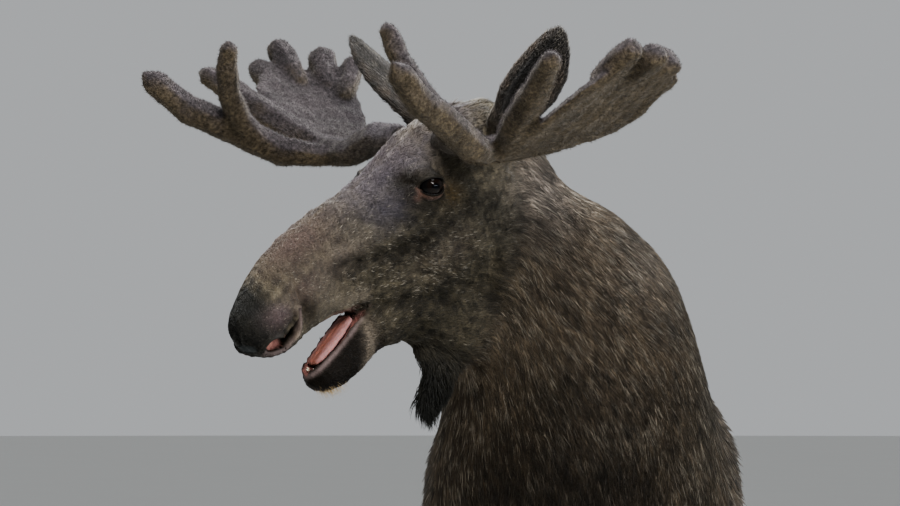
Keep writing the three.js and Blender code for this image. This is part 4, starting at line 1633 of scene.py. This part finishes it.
@dataclass
class Antler:
    """One antler in velvet, with its root in the skull."""

    side: Side
    voxel: float = 0.0040
    rounds: int = 28  # of rounding off
    most_lost: float = 0.008  # thickness that rounding may take and is given back
    nap_room: float = 0.0012  # the hard form lies this far under the nap's tips
    nap_count: int = 30000
    nap_length: float = 0.0042
    nap_width: float = 0.0008
    root: Route = ((-0.060, 0.066, 0.084), (-0.046, 0.130, 0.090))
    root_radius: float = 0.029
    # painted light: top is the cool grey of velvet under sky light, under the warm brown of its lower side
    under: Colour = (0.046, 0.036, 0.023)
    top: Colour = (0.0255, 0.0213, 0.0218)
    base: Colour = (0.040, 0.037, 0.041)

    def build(self) -> list[Piece]:
        """Makes the antler and its nap."""
        name = f"antler_{self.side.word}"
        nodes = [f"{name}_{part}" for part in ("beam", "brow_palm", "main_palm")]
        antler = merge(name, [copy_of(name, nodes), self.root_piece()])
        remesh(antler, self.voxel)
        full = points_of(antler)
        round_off(antler, 1.0, self.rounds)
        lost = np.sum((full - points_of(antler)) * normals_of(antler), axis=1)[:, None]
        lost = np.clip(ease(lost, neighbours_of(antler), 1.0, 20), 0, self.most_lost)[:, 0]
        points = points_of(antler) + normals_of(antler) * lost[:, None]
        level = LEVEL.local(points)
        level[:, 1] *= self.side.value
        palm = bump(level, (-0.120, 0.440, 0.150), (0.10, 0.14, 0.2))
        height = 0.0010 * ripple(points, 0.050, 31) + 0.0004 * ripple(points, 0.020, 32)
        height += 0.0006 * palm * np.sin(level[:, 0] / 0.0042 + 2.2 * ripple(points, 0.12, 33))
        swell(antler, lost + height - self.nap_room)
        unwrap(antler, 0.003)
        shade_smooth(antler)
        paint(antler, self.colours(points_of(antler), normals_of(antler)))
        return [declare(antler, VelvetFinish().material(), "velvet", nodes), self.nap(antler)]

    def root_piece(self) -> Piece:
        """The antler's stump, from inside the skull to the beam."""
        start, end = (LEVEL.world((x, y * self.side.value, z)) for x, y, z in self.root)
        along = end - start
        long = float(np.linalg.norm(along))
        bpy.ops.mesh.primitive_cylinder_add(
            vertices=24,
            radius=self.root_radius,
            depth=long,
            location=tuple((start + end) / 2),
            rotation=(0.0, math.acos(along[2] / long), math.atan2(along[1], along[0])),
        )
        bpy.ops.object.transform_apply(location=True, rotation=True, scale=True)
        return bpy.context.object

    def colours(self, points: Points, out: Points) -> Points:
        """Painted light: grey-brown where the nap faces up, as under sky light, and warm brown where it faces down; a
        bluish base, and streaks along the beam.
        """
        level = LEVEL.local(points)
        # painted light: the tone follows which way the velvet faces
        above = smooth_step(out[:, 2] + 0.2 * ripple(points, 0.06, 34), -0.65, 0.65)
        near_base = 0.4 * smooth_step(np.abs(level[:, 1]), 0.24, 0.10)[:, None]
        colours = two_tone(self.under, self.top, above) * (1 - near_base) + np.array(self.base) * near_base
        streak = ripple(level * np.array([1.0, 0.16, 1.0]), 0.009, 37)
        grain = 0.10 * streak + 0.16 * ripple(points, 0.010, 35) + 0.14 * ripple(points, 0.09, 36)
        return colours * (1 + grain)[:, None].clip(0.35, 1.8)

    def nap(self, antler: Piece) -> Piece:
        """The velvet's short hairs, standing off the antler."""
        points = len(antler.data.vertices)
        ground = Field(antler, np.tile(np.eye(len(Region))[Region.FACE.column], (points, 1)), np.zeros(points))
        rng = np.random.default_rng(SEED + self.side.value)
        roots = ground.sow(np.full(len(ground.area), self.nap_count / ground.area.sum()), rng)
        count = len(roots)
        outward = LEVEL.turn(np.array([[-0.1, 1.0 * self.side.value, 0.35]]))
        way = flattened(outward, roots.facing)
        way = unit(unit(way) + np.cross(way, roots.facing) * rng.normal(0, 0.5, (count, 1)))
        colour = self.colours(roots.place, roots.facing)
        pale = rng.uniform(1.2, 3.4, (count, 1))
        length = self.nap_length * rng.uniform(0.6, 1.3, count)
        lift = rng.uniform(0.25, 1.2, count)
        growth = Growth(way, length, np.full(count, self.nap_width), lift, colour * 0.9, colour * pale)
        nap = comb(f"velvet_nap_{self.side.word}", roots, growth)
        return declare(nap, CoatFinish("velvet_hair", 0.75, 0.05).material(), "velvet")


# ---- Eyes ----


@dataclass
class Eye:
    """One eyeball: a dark wet globe with a clear bulge, a brown iris and a lying pupil."""

    side: Side
    bulge: float = 0.0016
    bulge_radius: float = 0.0140
    iris_radius: float = 0.0150
    pupil: tuple[float, float] = (0.0085, 0.0046)
    white: Colour = (0.0030, 0.0025, 0.0025)
    iris: Colour = (0.0050, 0.0030, 0.0022)
    pupil_colour: Colour = (0.0008, 0.0009, 0.0016)
    rim_colour: Colour = (0.009, 0.007, 0.007)
    rim_width: float = 0.0010
    lash_count: int = 70
    lash_length: float = 0.0095
    lash_width: float = 0.0005
    lash_colour: Colour = (0.006, 0.005, 0.004)

    def build(self) -> list[Piece]:
        """Makes the eyeball, the wet rim of its lids and the lashes."""
        return [self.globe(), self.rim(), self.lashes()]

    def to_world(self, height: Points, run: Points, rise: Points) -> Points:
        """Places in the model's frame, from ones about the eye."""
        out, front, up = FACE.eye_axes()
        face = np.array(FACE.eye) + height[:, None] * out + run[:, None] * front + rise[:, None] * up
        face[:, 1] *= self.side.value
        return HEAD.world(face)

    def globe(self) -> Piece:
        """The eyeball."""
        bpy.ops.mesh.primitive_uv_sphere_add(segments=48, ring_count=32, radius=FACE.eye_radius, location=(0, 0, 0))
        globe = bpy.context.object
        globe.name = f"eyeball_{self.side.word}"
        run, rise, height = points_of(globe).T
        from_axis = np.hypot(run, rise)
        front = height > 0
        height = height + self.bulge * smooth_step(from_axis, self.bulge_radius, 0.0) * front
        move_points(globe, self.to_world(height, run, rise))
        face_outward(globe)
        shade_smooth(globe)
        edge = 0.0010  # half the width over which the iris ends
        iris = smooth_step(from_axis, self.iris_radius + edge, self.iris_radius - edge) * front
        streak = 1 + 0.3 * np.sin(17 * np.arctan2(rise, run))[:, None]
        long, high = self.pupil
        pupil = smooth_step((run / long) ** 2 + (rise / high) ** 2, 1.15, 0.85) * front
        ball = np.array(self.white) * (1 - iris[:, None]) + np.array(self.iris) * iris[:, None] * streak
        paint(globe, ball * (1 - pupil[:, None]) + np.array(self.pupil_colour) * pupil[:, None])
        name = f"eye_{self.side.word}"
        finish = PaintedFinish(name, 0.035, grain=900.0, relief=0.0, shine=0.09)
        return declare(globe, finish.material(), "eye", [name])

    def rim(self) -> Piece:
        """The dark wet edge of the lids, round the eyeball."""
        thin = 0.1
        bpy.ops.mesh.primitive_torus_add(
            major_segments=64, minor_segments=8, major_radius=1.0, minor_radius=thin, location=(0, 0, 0)
        )
        rim = bpy.context.object
        rim.name = f"lid_rim_{self.side.word}"
        x, y, z = points_of(rim).T
        angle = np.arctan2(y, x)
        swing, stand = (np.hypot(x, y) - 1) / thin, z / thin
        run = FACE.eye_length * np.cos(angle)
        bow = np.sqrt(np.clip(1 - (run / FACE.eye_length) ** 2, 0, 1))
        rise = np.where(angle > 0, FACE.upper_lid * bow**0.85, -FACE.lower_lid * bow)
        reach = np.hypot(run, rise)
        from_axis = reach + swing * self.rim_width
        run, rise = run * from_axis / reach, rise * from_axis / reach
        height = np.sqrt(np.clip((FACE.eye_radius + 0.0006) ** 2 - from_axis**2, 0, None)) + stand * self.rim_width
        move_points(rim, self.to_world(height, run, rise))
        face_outward(rim)
        shade_smooth(rim)
        paint(rim, np.tile(self.rim_colour, (len(x), 1)))
        finish = PaintedFinish(f"lid_{self.side.word}", 0.32, grain=500.0, shine=0.3)
        return declare(rim, finish.material(), "eye")

    def lashes(self) -> Piece:
        """The lashes of the upper lid, spread like a fan."""
        count = self.lash_count
        rng = np.random.default_rng(SEED + 7)
        run = np.linspace(-0.85, 0.85, count) * FACE.eye_length
        rise = FACE.upper_lid * (1 - (run / FACE.eye_length) ** 2) ** 0.42 + 0.0006
        height = np.sqrt(np.clip((FACE.eye_radius + 0.0012) ** 2 - run**2 - rise**2, 0, None))
        place = self.to_world(height, run, rise)
        ahead = self.to_world(height + 0.9, 7.0 * run + rng.normal(0, 0.1, count), rise - 0.25) - place
        facing = unit(self.to_world(height, run, rise + 1.0) - place)
        roots = Roots(place, facing, np.full((count, 2), 0.5), np.zeros((count, len(Region))))
        length = self.lash_length * rng.uniform(0.7, 1.2, count)
        width, lift = np.full(count, self.lash_width), np.full(count, 0.15)
        dark = np.tile(self.lash_colour, (count, 1))
        lashes = comb(f"lashes_{self.side.word}", roots, Growth(unit(ahead), length, width, lift, dark, dark * 2))
        return declare(lashes, CoatFinish(f"lash_hair_{self.side.word}").material(), "coat")


# ---- Mouth ----


@dataclass
class Mouth:
    """What shows between the lips: the tongue and the lower front teeth."""

    tongue_middle: Colour = (0.175, 0.072, 0.055)
    tongue_edge: Colour = (0.235, 0.120, 0.112)
    tooth_count: int = 8
    tooth_size: Place = (0.0032, 0.0038, 0.0095)
    tooth_root: Colour = (0.330, 0.240, 0.130)
    tooth_edge: Colour = (0.680, 0.610, 0.470)
    arch: Place = (0.334, 0.0135, -0.168)  # forward, half the row's width, and up

    def build(self) -> list[Piece]:
        """Makes the tongue and the teeth."""
        return [self.tongue(), self.teeth()]

    def tongue(self) -> Piece:
        """The tongue, grooved along its middle and rough above."""
        tongue = copy_of("tongue_flesh", ["tongue"])
        remesh(tongue, 0.0014)
        round_off(tongue, 1.0, 24)
        points, out = points_of(tongue), normals_of(tongue)
        across = HEAD.local(points)[:, 1]
        groove = -0.0022 * hill(across, 0.0035) * smooth_step(out @ HEAD.up, 0.1, 0.7)
        swell(tongue, groove + 0.0030 * np.abs(out @ HEAD.left) + 0.0004 * ripple(points, 0.004, 41))
        shade_smooth(tongue)
        colours = two_tone(self.tongue_middle, self.tongue_edge, smooth_step(np.abs(across), 0.006, 0.016))
        paint(tongue, colours * (1 + 0.10 * ripple(points, 0.012, 42))[:, None])
        finish = PaintedFinish("tongue_skin", 0.7, 0.0, 0.2, 700.0, 0.0008, 0.2)
        return declare(tongue, finish.material(), "mouth", ["tongue"])

    def tooth(self, place: float) -> Piece:
        """One chisel-shaped tooth that leans forward. place runs from -1 to 1 along the row."""
        bpy.ops.mesh.primitive_cube_add(size=1.0, location=(0, 0, 0))
        tooth = bpy.context.object
        with editing(tooth):
            bpy.ops.mesh.subdivide(number_cuts=2)
        shape = points_of(tooth)
        shape[:, 1] *= 1 - 0.25 * (0.5 - shape[:, 2])
        shape[:, 0] *= 1 - 0.55 * (shape[:, 2] + 0.5)
        shape *= np.array(self.tooth_size)
        shape[:, 0] += 0.25 * shape[:, 2]
        forward, half, height = self.arch
        at = HEAD.world((forward - 0.009 * place**2, half * place, height))
        move_points(tooth, HEAD.turn(shape) + at)
        apply_modifier(tooth, "SUBSURF", levels=2, render_levels=2)
        return tooth

    def teeth(self) -> Piece:
        """The eight small front teeth of the lower jaw, side by side on an arch."""
        row = merge("lower_incisors", [self.tooth(place) for place in np.linspace(-1, 1, self.tooth_count)])
        shade_smooth(row)
        high = smooth_step(HEAD.local(points_of(row))[:, 2], -0.171, -0.165)
        paint(row, two_tone(self.tooth_root, self.tooth_edge, high))
        finish = PaintedFinish("tooth_enamel", 0.22, 0.4, 0.0, 200.0, 0.0)
        return declare(row, finish.material(), "tooth", ["lower_teeth"])


# ---- Hooves ----


@dataclass
class Foot:
    """One cloven foot: two pointed claws that stand flat, and two dewclaws behind."""

    end: str
    side: Side
    voxel: float = 0.0036
    sole: float = 0.006  # the horn below this height is the sole and hardly rounded
    flat: float = 0.0022  # the horn below this height is laid on the floor
    tuck: float = 0.007  # the dewclaws sit this far further forward, since the skin lies under the hair

    def build(self) -> list[Piece]:
        """Makes the claws and the dewclaws."""
        return [self.claws(), self.dewclaws()]

    def horn(self, kind: str) -> tuple[Piece, list[str]]:
        """A pair of horn pieces as one, and the nodes it stands for."""
        nodes = [f"{kind}_{self.end}_{self.side.word}_{place}" for place in ("outer", "inner")]
        horn = copy_of(f"{kind}_horn_{self.end}_{self.side.word}", nodes)
        remesh(horn, self.voxel)
        return horn, nodes

    def claws(self) -> Piece:
        """The two claws, rounded off on their flat soles."""
        claws, nodes = self.horn("hoof")
        round_off(claws, np.where(points_of(claws)[:, 2] < self.sole, 0.15, 1.0), 22)
        points = points_of(claws)
        points[:, 2] = np.where(points[:, 2] < self.flat, 0.0, points[:, 2])
        move_points(claws, points)
        shade_smooth(claws)
        return declare(claws, HornFinish("hoof_horn").material(), "hoof", nodes)

    def dewclaws(self) -> Piece:
        """The two dewclaws, drawn in to the skin."""
        dewclaws, nodes = self.horn("dewclaw")
        round_off(dewclaws, 1.0, 8)
        move_points(dewclaws, points_of(dewclaws) - np.array([0.0, self.tuck, 0.0]))
        shade_smooth(dewclaws)
        return declare(dewclaws, HornFinish("dewclaw_horn").material(), "hoof", nodes)


# ---- Studio ----


@dataclass(frozen=True)
class SoftLight:
    """A rectangular light that points at the head."""

    name: str
    offset: Place  # from the head
    size: tuple[float, float]
    power: float
    colour: Colour

    def build(self) -> None:
        """Hangs the light."""
        lamp = bpy.data.lights.new(self.name, "AREA")
        lamp.shape, lamp.energy, lamp.color = "RECTANGLE", self.power, self.colour
        lamp.size, lamp.size_y = self.size
        light = in_scene(self.name, lamp)
        light.location = HEAD.origin + np.array(self.offset)
        x, y, z = unit(-np.array(self.offset))
        light.rotation_euler = (math.acos(-z), 0.0, math.atan2(y, x) - math.pi / 2)  # it shines down its own -Z


@dataclass
class Studio:
    """A pale floor, soft lights and the camera."""

    azimuth: float = 5.0
    distance: float = 12.0
    lens: float = 271.2
    sensor: float = 36.0
    aim: tuple[float, float] = (0.0982, -0.1168)  # from the eyes to the middle of the view: right and up
    floor_radius: float = 60.0
    sky: Colour = (0.78, 0.80, 0.82)
    sky_strength: float = 0.50
    lights: tuple[SoftLight, ...] = (
        SoftLight("sky_light", (0.4, -0.2, 2.7), (2.0, 2.4), 230.0, (0.93, 0.96, 1.0)),
        SoftLight("key_light", (1.2, -4.2, 2.9), (1.6, 1.2), 380.0, (1.0, 0.98, 0.95)),
        SoftLight("catch_light", (3.10, -2.65, 0.70), (3.8, 0.26), 140.0, (0.84, 0.90, 1.0)),  # seen in the eye
        SoftLight("back_light", (2.2, 3.6, 2.8), (1.8, 1.8), 420.0, (0.96, 0.98, 1.0)),
    )

    def build(self) -> None:
        """Sets the stage."""
        bpy.context.scene.view_settings.view_transform = "AgX"
        bpy.context.scene.view_settings.look = "AgX - Medium High Contrast"
        self.floor()
        for light in self.lights:
            light.build()
        self.surroundings()
        self.camera()

    def floor(self) -> None:
        """The floor, wide enough to reach the horizon."""
        bpy.ops.mesh.primitive_circle_add(
            vertices=96, radius=self.floor_radius, fill_type="NGON", location=(0, 0, 0)
        )
        floor = bpy.context.object
        floor.name = "studio_floor"
        floor.data.materials.append(FloorFinish().material())
        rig.stage(floor)

    def surroundings(self) -> None:
        """The even pale light from all round."""
        world = bpy.data.worlds.new("studio_world")
        bpy.context.scene.world = world
        world.use_nodes = True
        background = world.node_tree.nodes["Background"]
        background.inputs["Color"].default_value = (*self.sky, 1)
        background.inputs["Strength"].default_value = self.sky_strength

    def camera(self) -> None:
        """A long lens, level with the animal's head."""
        turn = math.radians(self.azimuth)
        back = np.array([math.sin(turn), -math.cos(turn), 0.0])
        right = np.array([math.cos(turn), math.sin(turn), 0.0])
        across, up = self.aim
        camera = in_scene("camera", bpy.data.cameras.new("camera"))
        camera.location = HEAD.origin + right * across + np.array([0, 0, up]) + back * self.distance
        camera.rotation_euler = (math.pi / 2, 0.0, turn)
        camera.data.lens, camera.data.sensor_width, camera.data.clip_end = self.lens, self.sensor, 200.0
        bpy.context.scene.camera = camera


def main() -> None:
    """Builds the moose and its studio."""
    skin = Skin()
    skin.build()
    Coat(skin).build()
    ChinHair(skin).build()
    for side in Side:
        Antler(side).build()
        Eye(side).build()
    Mouth().build()
    for end in ("fore", "hind"):
        for side in Side:
            Foot(end, side).build()
    Studio().build()
    with open("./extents.json", "w", encoding="utf-8") as report:
        json.dump({"cad": CAD_BOX, "visual": [list(corner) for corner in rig.bounds()]}, report)


if __name__ == "__main__":
    main()
